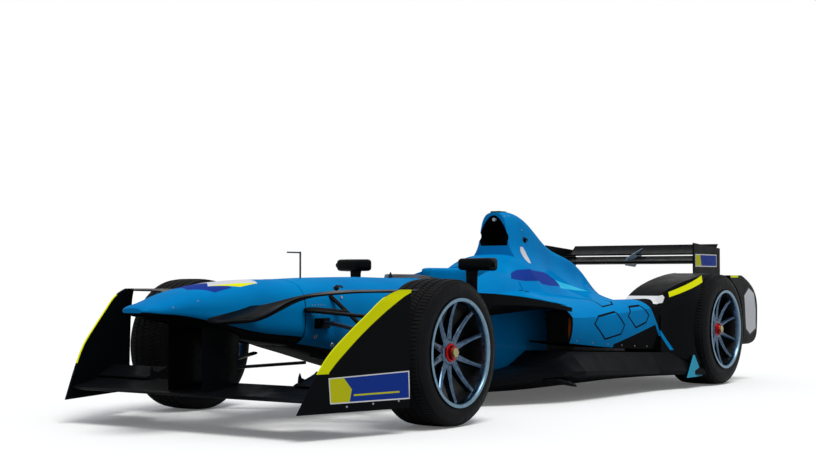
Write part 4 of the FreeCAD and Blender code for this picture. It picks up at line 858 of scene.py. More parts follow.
def make_tyre(corner):
    """One tyre: spun, slanted, raised in blocks, and set on its wheel."""
    side, x, y, radius, half, rim_half = wheels[corner]
    outer = tyre_half(radius, half)
    inner = [(-a, b) for a, b in reversed(outer)]
    shape = spun(outer + [(half * 0.90, 0.2310), (-half * 0.90, 0.2310)] + inner, tread_steps)
    wide = half / drawn_half
    raised = []
    shape.faces.ensure_lookup_table()
    for face in shape.faces:
        centre = face.calc_center_median()
        level = math.hypot(centre.y, centre.z)
        across = abs(centre.x) / wide
        if level > radius - 0.0125 and any(low <= across <= high for low, high in ribs):
            raised.append(face)
    for vert in shape.verts:
        slant = min(abs(vert.co.x), rib_edges[3] * wide) * 1.6
        vert.co.rotate(Matrix.Rotation(slant, 3, "X"))
    bmesh.ops.recalc_face_normals(shape, faces=shape.faces)
    bmesh.ops.inset_individual(shape, faces=raised, thickness=0.0021, depth=block_height,
                               use_even_offset=True)
    crosswise = {edge for face in shoulder_faces(shape, half) for edge in face.edges
                 if abs(edge.verts[0].co.x - edge.verts[1].co.x) < 1e-6}
    bmesh.ops.subdivide_edges(shape, edges=list(crosswise), cuts=1, use_grid_fill=True)
    bmesh.ops.inset_individual(shape, faces=shoulder_faces(shape, half), thickness=0.0012, depth=0.0016)
    put(shape, side * x, y, radius, side)
    piece = finish_piece("tyre_tread_" + corner, shape, (side_rubber, tread_rubber), "wheel_" + corner,
                         replaced=("tyre_" + corner,), crease_deg=28)
    for face in piece.data.polygons:
        centre = face.center - Vector((side * x, y, radius))
        face.material_index = 1 if math.hypot(centre.y, centre.z) > radius - 0.021 else 0
    return piece


for corner in wheels:
    tyre_piece = make_tyre(corner)
    print(tyre_piece.name, "faces", len(tyre_piece.data.polygons))

# %% [markdown]
# ## Rims
# A forged rim has a barrel with a rolled lip, a hub, and ten spokes that stand in five pairs. One
# spoke is lofted along its curve: rings of one section, each with its own width and depth, stand
# from the hub outwards, and each is bridged to the next. It is made once for each place and turned
# there. Boxes would be simpler, but a real spoke thins and lifts outwards in one line, and that line
# is what the eye follows. The barrel's inside is painted dark, for brake dust and as painted shade.

# %% One spoke
# brake dust and painted shade: a near-black metal for the inside of the barrel
rim_dust_and_shade = metal_finish("rim_dust_and_shade", colour(9, 10, 12), colour(20, 22, 25), (0.3, 0.45), (9, 9, 9), 0.6)
hub_reach = 0.040  # radius at which the spokes leave the hub


def spoke(face, shift, lean):
    """One spoke along +Z: rings of (radius, front, back, half width) are joined from hub to barrel."""
    shape = bmesh.new()
    stations = ((hub_reach, 0.000, -0.036, 0.0190), (0.070, 0.001, -0.035, 0.0180),
                (0.105, 0.004, -0.031, 0.0150), (0.145, 0.011, -0.021, 0.0122),
                (0.185, 0.024, -0.006, 0.0108), (0.215, 0.038, 0.010, 0.0112),
                (0.232, 0.047, 0.018, 0.0130))
    rings = []
    for radius, front, back, half in stations:
        middle = shift + lean * (radius - hub_reach)
        ridge = 0.25 * half
        corners = [(back, -half), (back, half), (front - 0.004, half), (front, half - ridge),
                   (front - 0.0035, 0.0), (front, -half + ridge), (front - 0.004, -half)]
        rings.append([shape.verts.new((face + depth, middle + y, radius)) for depth, y in corners])
    for ring in rings:
        for pair in zip(ring, ring[1:] + ring[:1]):
            shape.edges.new(pair)
    for near, far in zip(rings, rings[1:]):
        loops = [shape.edges.get(pair) for ring in (near, far) for pair in zip(ring, ring[1:] + ring[:1])]
        bmesh.ops.bridge_loops(shape, edges=loops)
    for ring in (rings[0], rings[-1]):
        shape.faces.new(ring)
    return shape


print("spoke helper ready")

# %% Whole rims


def make_rim(corner):
    """Barrel, hub and five pairs of spokes; the lip gets its own metal, the barrel's inside a dark one for
    brake dust and painted shade.
    """
    side, x, y, radius, half, rim_half = wheels[corner]
    barrel = [(rim_half, 0.2435), (rim_half, 0.2290), (rim_half - 0.006, 0.2255), (rim_half - 0.016, 0.2235),
              (rim_half - 0.030, 0.2200), (rim_half - 0.070, 0.2150), (-rim_half + 0.030, 0.2120),
              (-rim_half + 0.012, 0.2200), (-rim_half, 0.2290), (-rim_half, 0.2435),
              (-rim_half + 0.004, 0.2435),
              (-rim_half + 0.010, 0.2320), (-rim_half + 0.028, 0.2300), (rim_half - 0.028, 0.2300),
              (rim_half - 0.010, 0.2320), (rim_half - 0.004, 0.2435)]
    shape = spun(barrel, 96)
    face = rim_half - 0.062
    hub = [(face + 0.004, 0.030), (face + 0.004, 0.052), (face - 0.004, 0.062), (face - 0.034, 0.062),
           (face - 0.040, 0.054), (face - 0.040, 0.030)]
    add_shape(shape, spun(hub, 60))
    for pair in range(5):
        turn = Matrix.Rotation(pair * math.tau / 5 + math.radians(18), 3, "X")
        for way in (1, -1):
            arm = spoke(face, way * 0.0095, way * 0.324)
            bmesh.ops.rotate(arm, verts=arm.verts, cent=(0, 0, 0), matrix=turn)
            bmesh.ops.recalc_face_normals(arm, faces=arm.faces)
            add_shape(shape, arm)
    put(shape, side * x, y, radius, side)
    piece = finish_piece("rim_" + corner + "_forged", shape, (rim_metal, rim_lip_metal, rim_dust_and_shade),
                         "wheel_" + corner, replaced=("rim_" + corner,), crease_deg=30)
    for polygon in piece.data.polygons:
        spot = polygon.center - Vector((side * x, y, radius))
        reach = math.hypot(spot.y, spot.z)
        outward = side * spot.x
        if reach > 0.2245 and outward > rim_half - 0.008:
            polygon.material_index = 1
        # the barrel's inside gets the dark metal of brake dust and painted shade
        elif reach > 0.2100 and outward < rim_half - 0.024 and abs(polygon.normal.x) < 0.5:
            polygon.material_index = 2
    return piece


for corner in wheels:
    rim_piece = make_rim(corner)
    print(rim_piece.name, "faces", len(rim_piece.data.polygons))

# %% [markdown]
# ## Hub, disc and wheel nut
# Behind the spokes stand a vented brake disc and its dark bell. In front sits the single wheel nut:
# a red anodised flange with small flats round its rim, and a pale olive hexagon cap on it. Round
# parts are spun, since one section then gives every groove; the nut's hexagon is a cone of six sides
# with its edges bevelled, because a spin could not give it flat faces.

# %% Hub parts
carbon_disc = metal_finish("carbon_disc", colour(30, 30, 32), colour(48, 48, 50), (0.4, 0.55),
                           (4, 50, 50), 0.3)


def ngon_prism(sides, radius, start, end, soft):
    """A prism along X with bevelled edges."""
    shape = bmesh.new()
    matrix = Matrix.Translation(((start + end) / 2, 0, 0)) @ Matrix.Rotation(math.pi / 2, 4, "Y")
    bmesh.ops.create_cone(shape, cap_ends=True, segments=sides, radius1=radius, radius2=radius,
                          depth=end - start, matrix=matrix)
    soften(shape, shape.edges[:], soft)
    return shape


def make_hub(corner):
    """Disc with its bell, the nut's flange and its cap, each a piece with its own metal."""
    side, x, y, radius, half, rim_half = wheels[corner]
    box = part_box("hub_" + corner)
    inner, outer = sorted(side * end[0] - x for end in box)
    face = rim_half - 0.062
    disc_at = inner + 0.012
    shape = spun([(disc_at, 0.090), (disc_at, 0.1385), (disc_at + 0.010, 0.1385), (disc_at + 0.010, 0.132),
                  (disc_at + 0.018, 0.132), (disc_at + 0.018, 0.1385), (disc_at + 0.028, 0.1385),
                  (disc_at + 0.028, 0.090)], 72)
    add_shape(shape, spun([(inner, 0.016), (inner, 0.060), (disc_at + 0.006, 0.092), (disc_at + 0.022, 0.092),
                           (disc_at + 0.040, 0.058), (face - 0.038, 0.050), (face - 0.038, 0.016)], 48))
    put(shape, side * x, y, radius, side)
    disc = finish_piece("brake_disc_" + corner, shape, (carbon_disc,), "wheel_" + corner,
                        replaced=("hub_" + corner,))
    flange = spun([(face - 0.006, 0.012), (face - 0.006, 0.039), (face + 0.004, 0.042),
                   (face + 0.007, 0.0405), (face + 0.010, 0.033), (face + 0.022, 0.029),
                   (face + 0.022, 0.012)], 24)
    flats = []
    for face_of_flange in flange.faces:
        centre = face_of_flange.calc_center_median()
        if math.hypot(centre.y, centre.z) > 0.0402:
            flats.append(face_of_flange)
    bmesh.ops.inset_individual(flange, faces=flats, thickness=0.0010, depth=-0.0012)
    put(flange, side * x, y, radius, side)
    finish_piece("nut_flange_" + corner, flange, (red_anodised,), "wheel_" + corner,
                 crease_deg=20)
    cap = ngon_prism(6, 0.0235, face + 0.020, min(face + 0.046, outer - 0.0005), 0.0022)
    put(cap, side * x, y, radius, side)
    finish_piece("nut_cap_" + corner, cap, (olive_metal,), "wheel_" + corner, crease_deg=20)
    return disc


for corner in wheels:
    print(make_hub(corner).name)

# %% [markdown]
# ## Small parts on the skin
# Fasteners, knobs and boxes sit on curved skins. A ray sent along a line from outside finds the
# point and the normal of the skin, so each part lies flush, and the same ray from the other side
# places its twin. A tree of the skin's triangles makes the search quick.

# %% Finding the skin
skins = {}


def on_skin(name, start, way):
    """Where a ray meets a node, and the outward normal there."""
    if name not in skins:
        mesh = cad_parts[name].data
        points = [vert.co.copy() for vert in mesh.vertices]
        faces = [list(face.vertices) for face in mesh.polygons]
        skins[name] = BVHTree.FromPolygons(points, faces)
    spot, normal, index, reach = skins[name].ray_cast(Vector(start), Vector(way))
    if spot and normal.dot(Vector(way)) > 0:
        normal = -normal
    return spot, normal


def side_spot(name, side, y, z):
    """A matrix whose Z points out of the left or right skin at this place on the side view."""
    spot, normal = on_skin(name, (side * 2, y, z), (-side, 0, 0))
    return Matrix.Translation(spot) @ normal.to_track_quat("Z", "Y").to_matrix().to_4x4()


def stud(shape, matrix, radius, height, sides=14, taper=0.8):
    """A low round head that stands on the skin."""
    lift = matrix @ Matrix.Translation((0, 0, height / 2 - 0.001))
    bmesh.ops.create_cone(shape, cap_ends=True, segments=sides, radius1=radius, radius2=radius * taper,
                          depth=height + 0.002, matrix=lift)


print("skin search ready")

# %% Fasteners of the nose, the cell, the cowl, the endplates and the sidepods
fasteners = bmesh.new()
for side in (1, -1):
    for step in range(5):
        for z in (0.5385, 0.4925):
            stud(fasteners, side_spot("survival_cell", side, -1.575 + step * 0.021, z), 0.0032, 0.0016)
    for name, y, z in (("nose_cone", -2.368, 0.539), ("nose_cone", -2.236, 0.564)):
        stud(fasteners, side_spot(name, side, y, z), 0.0040, 0.0016)
    for y in (0.412, 0.460):
        spot, normal = on_skin("roll_hoop_cowl", (side * 0.060, y, 2.0), (0, 0, -1))
        turn = normal.to_track_quat("Z", "Y").to_matrix().to_4x4()
        stud(fasteners, Matrix.Translation(spot) @ turn, 0.0050, 0.0018)
    stud(fasteners, side_spot("roll_hoop_cowl", side, 0.571, 0.948), 0.0050, 0.0018)
    for y, z in ((-2.02, 0.135), (-1.89, 0.140), (-1.76, 0.145)):
        stud(fasteners, side_spot("front_wing_endplates", side, y, z), 0.0055, 0.0022)
    for y, z in ((0.20, 0.323), (0.36, 0.307), (0.52, 0.294), (0.68, 0.282), (0.84, 0.272), (1.00, 0.263)):
        stud(fasteners, side_spot("sidepods", side, y, z), 0.0042, 0.0016)
finish_piece("skin_fasteners", fasteners, (steel,), "root", crease_deg=30)
print("fasteners set")

# %% [markdown]
# ## Knobs, plugs and rod boxes on the cell
# A black knob and a flat plug stand on the cell's flank. Where each track rod passes through the
# wall there is a black frame of four bars, and two quarter-turn locks sit under it: a pale disc with
# a dark slot. They are small solids set on the skin; cut into it, they would need the whole cell's
# mesh changed for a detail of a few millimetres.

# %% Boxes, knobs and locks


def rounded_plate(shape, matrix, width, height, depth, soft, segments=3):
    """A slab with its four upright edges rounded, standing on the matrix's XY plane."""
    slab = matrix @ Matrix.Translation((0, 0, depth / 2)) @ Matrix.Diagonal((width, height, depth, 1))
    verts = bmesh.ops.create_cube(shape, size=1.0, matrix=slab)["verts"]
    out = (matrix.to_3x3() @ Vector((0, 0, 1))).normalized()
    edges = list({edge for vert in verts for edge in vert.link_edges})
    upright = [edge for edge in edges
               if abs((edge.verts[0].co - edge.verts[1].co).normalized().dot(out)) > 0.99]
    soften(shape, upright, soft, segments)


rod_boxes = bmesh.new()
knobs = bmesh.new()
locks = bmesh.new()
for side in (1, -1):
    low_x, high_x = sorted((side * 0.200, side * 0.236))
    for start in (0.4305, 0.4685):
        block(rod_boxes, (low_x, -1.560, start), (high_x, -1.470, start + 0.010), 0.003)
    for start in (-1.560, -1.482):
        block(rod_boxes, (low_x, start, 0.4305), (high_x, start + 0.012, 0.4785), 0.003)
    stud(knobs, side_spot("survival_cell", side, -1.375, 0.611), 0.0135, 0.020, 20, 0.75)
    stud(knobs, side_spot("survival_cell", side, -1.321, 0.622), 0.0110, 0.0012, 24, 0.98)
    for y, z in ((-1.545, 0.394), (-1.418, 0.352)):
        at = side_spot("survival_cell", side, y, z)
        stud(locks, at, 0.0115, 0.0030, 20, 0.9)
        rounded_plate(knobs, at @ Matrix.Translation((0, 0, 0.0022)), 0.0045, 0.017, 0.0016, 0.0018)
finish_piece("track_rod_boxes", rod_boxes, (black_carbon,), "root")
finish_piece("cell_knobs", knobs, (grip_rubber,), "root")
finish_piece("quarter_turn_locks", locks, (steel,), "root")
print("boxes, knobs and locks set")

# %% [markdown]
# ## Hard points of the wishbones
# Each upper wishbone leg ends at the cell in a thick, rounded fairing. It is the leg's own section
# grown at the root: a circle is placed at each point of a short line, with its own size, and each is
# bridged to the next. A skin modifier would do it from the line alone, but would not keep the flat,
# wing-like section.

# %% Wishbone fairings


def tapered_tube(shape, points, radii, flatness=1.0, sides=16):
    """A closed tube through some points, with its own radius at each."""
    rings = []
    for index, point in enumerate(points):
        ahead_of = Vector(points[min(index + 1, len(points) - 1)])
        behind_of = Vector(points[max(index - 1, 0)])
        run = (ahead_of - behind_of).normalized()
        turn = run.to_track_quat("Z", "Y").to_matrix().to_4x4()
        squash = Matrix.Diagonal((1.0, flatness, 1.0, 1.0))
        made = bmesh.ops.create_circle(shape, cap_ends=False, segments=sides, radius=radii[index],
                                       matrix=Matrix.Translation(point) @ turn @ squash)
        rings.append(made["verts"])
    for near, far in zip(rings, rings[1:]):
        loops = [edge for edge in shape.edges if all(vert in near for vert in edge.verts)
                 or all(vert in far for vert in edge.verts)]
        bmesh.ops.bridge_loops(shape, edges=loops)
    for ring in (rings[0], rings[-1]):
        shape.faces.new(ring)
    return shape


root_fairings = bmesh.new()
steps_out = ((0, 0, 0), (0.018, 0.012, 0), (0.040, 0.040, -0.001), (0.085, 0.085, -0.004),
             (0.150, 0.130, -0.009))
for side in (1, -1):
    start = Vector((side * 0.205, -1.628, 0.5165))
    line = [start + Vector((side * out, back, rise)) for out, back, rise in steps_out]
    tapered_tube(root_fairings, line, [0.012, 0.021, 0.023, 0.019, 0.013], 0.62)
finish_piece("wishbone_fairings", root_fairings, (black_carbon,), "root", crease_deg=50)
print("wishbone fairings made")

# %% [markdown]
# ## Mirrors
# Each mirror is a rounded pod on a post, turned ten degrees towards the driver, with a round stub at
# its outer end and a glass in its rear face. A cube is scaled, its front and inner ends drawn in,
# and all its edges bevelled in four steps, which is quicker than sculpting and keeps both pods
# alike; the glass is a thin slab with rounded corners.

# %% Mirror pods and glasses
mirror_low, mirror_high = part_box("mirrors")
mirror_far, mirror_top = mirror_high[0], mirror_high[2]
pod_size = (0.200, 0.100, 0.070)
post_foot = 0.800 * 0.664  # height of the shelf that the post stands on


def make_mirror(side):
    """Pod, stub and post as one piece, and the glass as another."""
    name = "left" if side > 0 else "right"
    middle = Vector((side * (mirror_far - 0.131), mirror_low[1] + 0.030, mirror_top - 0.030))
    turn = Matrix.Translation(middle) @ Matrix.Rotation(side * math.radians(10), 4, "Z")
    shape = bmesh.new()
    for vert in bmesh.ops.create_cube(shape, size=1.0, matrix=Matrix.Diagonal((*pod_size, 1)))["verts"]:
        if vert.co.y < 0:
            vert.co.x *= 0.92
            vert.co.z *= 0.90
        if vert.co.x * side < 0:
            vert.co.z *= 0.94
    soften(shape, shape.edges[:], 0.019, 4)
    for vert in shape.verts:
        vert.co = turn @ vert.co
    outward = Matrix.Rotation(side * math.pi / 2, 4, "Y")
    outer_end = turn @ Matrix.Translation((side * 0.092, -0.018, 0)) @ outward
    stud(shape, outer_end, 0.0175, 0.018, 20, 0.85)
    foot = Vector((side * (mirror_far - 0.155), middle.y - 0.014, post_foot))
    post = [foot, Vector((foot.x, foot.y, 0.620)), Vector((foot.x, foot.y, middle.z - 0.045)),
            Vector((foot.x, foot.y + 0.004, middle.z - 0.010))]
    tapered_tube(shape, post, [0.036, 0.034, 0.036, 0.042], 0.24)
    pod = finish_piece("mirror_pod_" + name, shape, (black_carbon,), "root", crease_deg=40)
    pane = bmesh.new()
    face = turn @ Matrix.Translation((0, 0.0490, 0)) @ Matrix.Rotation(-math.pi / 2, 4, "X")
    rounded_plate(pane, face, 0.168, 0.044, 0.0022, 0.014, 5)
    finish_piece("mirror_glass_" + name, pane, (mirror_glass,), "root")
    return pod


left_pod = make_mirror(1)
make_mirror(-1)
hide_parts("mirrors")
print("mirrors made", [round(value, 3) for value in mirror_high])

# %% [markdown]
# ## Nib, hoop cap and intake light
# A small black fin stands ahead of the screen, a flat black cap closes the top of the roll hoop, and
# a small lamp with a pale face hangs under the intake's roof. The fin is a cone of four sides,
# squashed to a blade; cap and lamp are a soft box and a stud. Rays from above find the skin that
# the fin and the cap stand on, so both sit flush without being measured.

# %% Nib, cap and light
nib = bmesh.new()
spot, normal = on_skin("survival_cell", (0.0, -0.652, 2.0), (0, 0, -1))
blade_at = Matrix.Translation(spot + Vector((0, 0, 0.014))) @ Matrix.Diagonal((0.45, 1.0, 1.0, 1.0))
bmesh.ops.create_cone(nib, cap_ends=True, segments=4, radius1=0.026, radius2=0.004, depth=0.032,
                      matrix=blade_at)
soften(nib, nib.edges[:], 0.0012)
finish_piece("chassis_nib", nib, (grip_rubber,), "root")
cap = bmesh.new()
spot, normal = on_skin("roll_hoop_cowl", (0.0, 0.450, 2.0), (0, 0, -1))
highest = 1.0560  # a millimetre over the hoop, so that the cap adds next to nothing to the height
block(cap, (-0.030, 0.400, spot.z - 0.010), (0.030, 0.490, min(spot.z + 0.006, highest)), 0.005, 3)
finish_piece("hoop_cap", cap, (black_carbon,), "root")
intake_light = bmesh.new()
facing_front = Matrix.Translation((0.0, 0.402, 1.006)) @ Matrix.Rotation(math.pi / 2, 4, "X")
stud(intake_light, facing_front, 0.011, 0.012, 20, 0.9)
finish_piece("intake_light", intake_light, (plate_white,), "root")
print("nib, cap and light set")

# %% [markdown]
# ## Headrest
# The headrest is a soft horseshoe under a painted skin: no edge of it is sharp. Its solid is
# remeshed into even squares and smoothed until the corners are round, which a bevel could not do as
# evenly where three edges meet. The sides of the squares are 6 mm long.

# %% Even remesh of a solid
pad_grain = 0.006


def softened(node_name, voxel, rounds, shrink=0.0):
    """A bmesh of a node's solid, remeshed evenly, rounded, and drawn in a little."""
    start = bmesh.new()
    start.from_mesh(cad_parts[node_name].data)
    bmesh.ops.remove_doubles(start, verts=start.verts, dist=0.0002)
    mesh = bpy.data.meshes.new("evened")
    start.to_mesh(mesh)
    start.free()
    carrier = bpy.data.objects.new("evened", mesh)
    scene.collection.objects.link(carrier)
    even = carrier.modifiers.new("even", "REMESH")
    even.mode = "VOXEL"
    even.voxel_size = voxel
    result = carrier.evaluated_get(bpy.context.evaluated_depsgraph_get())
    shape = bmesh.new()
    shape.from_mesh(result.to_mesh())
    result.to_mesh_clear()
    bpy.data.objects.remove(carrier)
    bpy.data.meshes.remove(mesh)
    for turn in range(rounds):
        bmesh.ops.smooth_vert(shape, verts=shape.verts, factor=0.5, use_axis_x=True, use_axis_y=True,
                              use_axis_z=True)
    shape.normal_update()
    if shrink:
        for vert in shape.verts:
            vert.co -= vert.normal * shrink
    return shape


headrest_shape = softened("headrest", pad_grain, 26)
headrest = finish_piece("headrest_pad", headrest_shape, (plain_paint,), "root",
                        replaced=("headrest",), crease_deg=80)
print("headrest faces", len(headrest.data.polygons))

# %% [markdown]
# ## Seat pad
# A racing seat is a thin moulded shell with padding over it. The pad starts a little smaller than
# its place, then a cloth simulation with inside pressure and no gravity swells it. A cap limits how
# far each point may move, so that the pad stays off its neighbours. Sewn channels run across it:
# there the points are pressed back in.

# %% Swelling a pad


def swell(piece, cap):
    """Cloth pressure for twenty frames, then each point keeps at most the cap of its way."""
    cloth = piece.modifiers.new("pressure", "CLOTH")
    cloth.settings.use_pressure = True
    cloth.settings.uniform_pressure_force = 4.0
    cloth.settings.effector_weights.gravity = 0.0
    cloth.point_cache.frame_start = 1
    cloth.point_cache.frame_end = 20
    for number in range(1, 21):
        scene.frame_set(number)
    swollen = piece.evaluated_get(bpy.context.evaluated_depsgraph_get()).data
    for vert, target in zip(piece.data.vertices, [vert.co.copy() for vert in swollen.vertices]):
        way = target - vert.co
        vert.co += way.normalized() * min(way.length, cap)
    piece.modifiers.remove(cloth)
    scene.frame_set(1)


seat_shape = softened("seat", pad_grain, 5, 0.005)
seat_pad = finish_piece("seat_pad", seat_shape, (seat_cloth,), "root", replaced=("seat",),
                        crease_deg=80)
swell(seat_pad, 0.008)
print("seat pad swollen")

# %% Sewn channels
seam_levels = (0.25, 0.31, 0.37, 0.43)
seam_reach = 0.010
for vert in seat_pad.data.vertices:
    upright = vert.co.z
    for level in seam_levels:
        press = max(0.0, 1.0 - abs(upright - level) / seam_reach)
        if vert.normal.y < -0.3:
            vert.co.y += 0.004 * press
            vert.co.z -= 0.002 * press
fuller = seat_pad.modifiers.new("fuller", "SUBSURF")
fuller.levels = 1
fuller.render_levels = 1
print("seat pad faces", len(seat_pad.data.polygons))

# %% [markdown]
# ## Harness
# Two shoulder straps and two hip straps meet in one round buckle. Each strap is a flat ribbon: a
# short edge is extruded from point to point, then the sheet gets its 2 mm with solidify. The points
# of the shoulder straps come from rays that land on the seat, so that the webbing lies on the pad;
# a cloth simulation would take far longer for straps that are pulled tight.

# %% Ribbons
pad_mesh = seat_pad.data
pad_tree = BVHTree.FromPolygons([vert.co.copy() for vert in pad_mesh.vertices],
                                [list(face.vertices) for face in pad_mesh.polygons])


def corners_of(grown):
    """The vertices among the things that an extrusion made."""
    return [item for item in grown if isinstance(item, bmesh.types.BMVert)]


def strap(shape, points, across, width):
    """A flat ribbon through the points."""
    half = Vector(across).normalized() * width / 2
    ends = [shape.verts.new(Vector(points[0]) - half), shape.verts.new(Vector(points[0]) + half)]
    edge = shape.edges.new(ends)
    for before, after in zip(points, points[1:]):
        grown = bmesh.ops.extrude_edge_only(shape, edges=[edge])["geom"]
        moved = corners_of(grown)
        bmesh.ops.translate(shape, verts=moved, vec=Vector(after) - Vector(before))
        edges = [item for item in grown if isinstance(item, bmesh.types.BMEdge)]
        edge = [item for item in edges if all(vert in moved for vert in item.verts)][0]


def on_pad(x, z, lift=0.004):
    """The point of the pad that faces the driver's back here, raised a little."""
    spot, normal, index, reach = pad_tree.ray_cast(Vector((x, -0.60, z)), Vector((0, 1, 0)))
    return spot + normal * lift if spot else None


print("ribbon helpers ready")

# %% Straps and buckle
harness = bmesh.new()
for side in (1, -1):
    line = []
    for step in range(9):
        z = 0.50 - 0.026 * step
        spot = on_pad(side * (0.078 - 0.006 * step), z)
        if spot:
            line.append(spot)
    strap(harness, line, (1, 0, 0), 0.046)
    hips = [Vector((side * 0.118, -0.080, 0.205)), Vector((side * 0.085, -0.115, 0.232)),
            Vector((side * 0.030, -0.125, 0.258))]
    strap(harness, hips, (0, -0.45, 0.9), 0.042)
bmesh.ops.solidify(harness, geom=harness.faces[:], thickness=0.0022)
finish_piece("harness_webbing", harness, (belt_cloth,), "root", crease_deg=50)
buckle = bmesh.new()
buckle_at = Matrix.Translation((0, -0.122, 0.262)) @ Matrix.Rotation(math.radians(62), 4, "X")
stud(buckle, buckle_at, 0.030, 0.016, 28, 0.86)
stud(buckle, buckle_at @ Matrix.Translation((0, 0, 0.015)), 0.016, 0.007, 24, 0.80)
finish_piece("harness_buckle", buckle, (machined,), "root", crease_deg=30)
print("harness straps laid")

# %% [markdown]
# ## Steering wheel
# This kind of wheel is a flat carbon plate with a small dark display, rotary switches and coloured
# buttons, between two rubber grips. All parts are set on one matrix whose Z runs along the column
# towards the driver, so they are drawn flat and tilted once. Each finish is a piece of its own that
# rides on the steering wheel's body, so all of them turn together.

# %% Plate and column
column_start = Vector((0, -1.164, 0.49136))
column_end = Vector((0, -0.420, 0.55776))
column_way = (column_end - column_start).normalized()
lifted = column_way.cross(Vector((-1, 0, 0)))
wheel_at = Matrix.Translation(column_end) @ Matrix(((-1, lifted.x, column_way.x), (0, lifted.y, column_way.y),
                                                    (0, lifted.z, column_way.z))).to_4x4()
wheel_plate = bmesh.new()
rounded_plate(wheel_plate, wheel_at @ Matrix.Translation((0, 0.004, -0.012)), 0.168, 0.100, 0.020, 0.026, 5)
tapered_tube(wheel_plate, [column_start, column_end - column_way * 0.09, column_end - column_way * 0.012],
             [0.0149, 0.0149, 0.026])
for side in (1, -1):
    paddle_at = wheel_at @ Matrix.Translation((side * 0.070, -0.004, -0.026))
    rounded_plate(wheel_plate, paddle_at, 0.052, 0.030, 0.004, 0.010, 3)
finish_piece("wheel_plate", wheel_plate, (black_carbon,), "steering_wheel",
             replaced=("steering_wheel",))
print("plate, paddles and column made")

# %% Grips and display
grips = bmesh.new()
for side in (1, -1):
    line = [(0.078, 0.048), (0.100, 0.053), (0.116, 0.036), (0.120, 0.004), (0.116, -0.030), (0.100, -0.048),
            (0.078, -0.044)]
    tapered_tube(grips, [wheel_at @ Vector((side * x, y, -0.002)) for x, y in line],
                 [0.0095, 0.0125, 0.0140, 0.0145, 0.0140, 0.0125, 0.0095])
finish_piece("wheel_grips", grips, (grip_rubber,), "steering_wheel", crease_deg=60)
display_glass = rubber_finish("display_glass", colour(8, 10, 14), colour(16, 19, 25), 6.0, (0.06, 0.10),
                              0.00002)
display = bmesh.new()
rounded_plate(display, wheel_at @ Matrix.Translation((0, 0.020, 0.008)), 0.078, 0.042, 0.0035, 0.005, 3)
finish_piece("wheel_display", display, (display_glass,), "steering_wheel")
print("grips and display made")

# %% Buttons and rotary switches
button_colours = {"red": (178, 26, 24), "green": (24, 132, 66), "amber": (214, 138, 20),
                  "pale": (196, 198, 202)}
for number, (key_name, tone) in enumerate(button_colours.items()):
    lighter = tuple(min(255, value + 18) for value in tone)
    plastic = rubber_finish("button_" + key_name, colour(*tone), colour(*lighter), 200.0, (0.35, 0.5), 0.0001)
    keys = bmesh.new()
    for side in (1, -1):
        key_at = (side * (0.054 + 0.012 * (number % 2)), 0.036 - 0.017 * number, 0.008)
        stud(keys, wheel_at @ Matrix.Translation(key_at), 0.0052, 0.0045, 16, 0.85)
    finish_piece("wheel_buttons_" + key_name, keys, (plastic,), "steering_wheel")
rotaries = bmesh.new()
for x in (-0.032, 0.0, 0.032):
    stud(rotaries, wheel_at @ Matrix.Translation((x, -0.024, 0.008)), 0.0095, 0.009, 12, 0.82)
finish_piece("wheel_rotaries", rotaries, (machined,), "steering_wheel", crease_deg=20)
print("steering wheel made")

# %% [markdown]
# ## Windscreen
# A low smoked strip stands round the front of the cockpit opening. Rays sent outwards from the
# middle of the opening find the line on which it stands, and rays from above find the cell's rim
# under it. The strip is extruded up from that line, highest in the middle and running out to nothing
# at its ends, and is then given 3 mm with solidify. Drawn from the rim itself, it fits without a gap
# however the opening curves.

# %% Screen strip
screen_centre = Vector((0, -0.400, 0.662))
screen_height = 0.024
screen_steps = 32
foot_line = []
for step in range(screen_steps + 1):
    turn = math.radians(-88 + 176 * step / screen_steps)
    way = Vector((math.sin(turn), -math.cos(turn), 0))
    spot, normal = on_skin("windscreen", screen_centre, way)
    if spot:
        rim, up = on_skin("survival_cell", (spot.x, spot.y, 2.0), (0, 0, -1))
        height = screen_height * math.cos(turn) ** 0.6 if abs(math.cos(turn)) > 0.02 else 0.002
        foot_line.append((Vector((spot.x, spot.y, min(rim.z, 0.668) - 0.004)), height + 0.005))
screen = bmesh.new()
feet = [screen.verts.new(spot) for spot, height in foot_line]
lines = [screen.edges.new(pair) for pair in zip(feet, feet[1:])]
for vert in corners_of(bmesh.ops.extrude_edge_only(screen, edges=lines)["geom"]):
    nearest = min(foot_line, key=lambda pair: (pair[0] - vert.co).length)
    vert.co.z += nearest[1]
    vert.co.y += nearest[1] * 0.35
bmesh.ops.solidify(screen, geom=screen.faces[:], thickness=0.003)
finish_piece("screen_strip", screen, (smoked_screen,), "root", replaced=("windscreen",),
             crease_deg=40)
print("screen points", len(foot_line))

# %% [markdown]
# ## Rain lamp
# Every such car carries a red lamp at its tail. It is one rounded block whose rear face is inset
# twice: the first inset leaves the black frame, the second pushes the lens in by 3 mm. Two blocks
# would need a gap between them; insets keep frame and lens in one closed skin.

# %% Lamp frame and lens
lamp_low, lamp_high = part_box("rain_light")
rain_lamp = bmesh.new()
block(rain_lamp, lamp_low, lamp_high, 0.006, 3)
rear_face = max(rain_lamp.faces, key=lambda face: face.calc_area() if face.normal.y > 0.9 else 0)
bmesh.ops.inset_region(rain_lamp, faces=[rear_face], thickness=0.005, depth=0.0)
bmesh.ops.inset_region(rain_lamp, faces=[rear_face], thickness=0.001, depth=-0.003)
lamp_piece = finish_piece("rain_lamp", rain_lamp, (grip_rubber, rain_lens), "root",
                          replaced=("rain_light",))
rear_faces = [face for face in lamp_piece.data.polygons if face.normal.y > 0.9]
lens_face = max(rear_faces, key=lambda face: face.area)
lens_face.material_index = 1
print("rain lamp faces", len(lamp_piece.data.polygons))

# %% [markdown]
# ## Marks on the roll hoop
# A dark bush lines each side of the lifting bore: a ring that is spun once round the bore's own
# axis. A row of small dark rivets follows the seam between the cowl and the engine cover. They are
# studs with ten sides, since at 3 mm nothing finer shows.

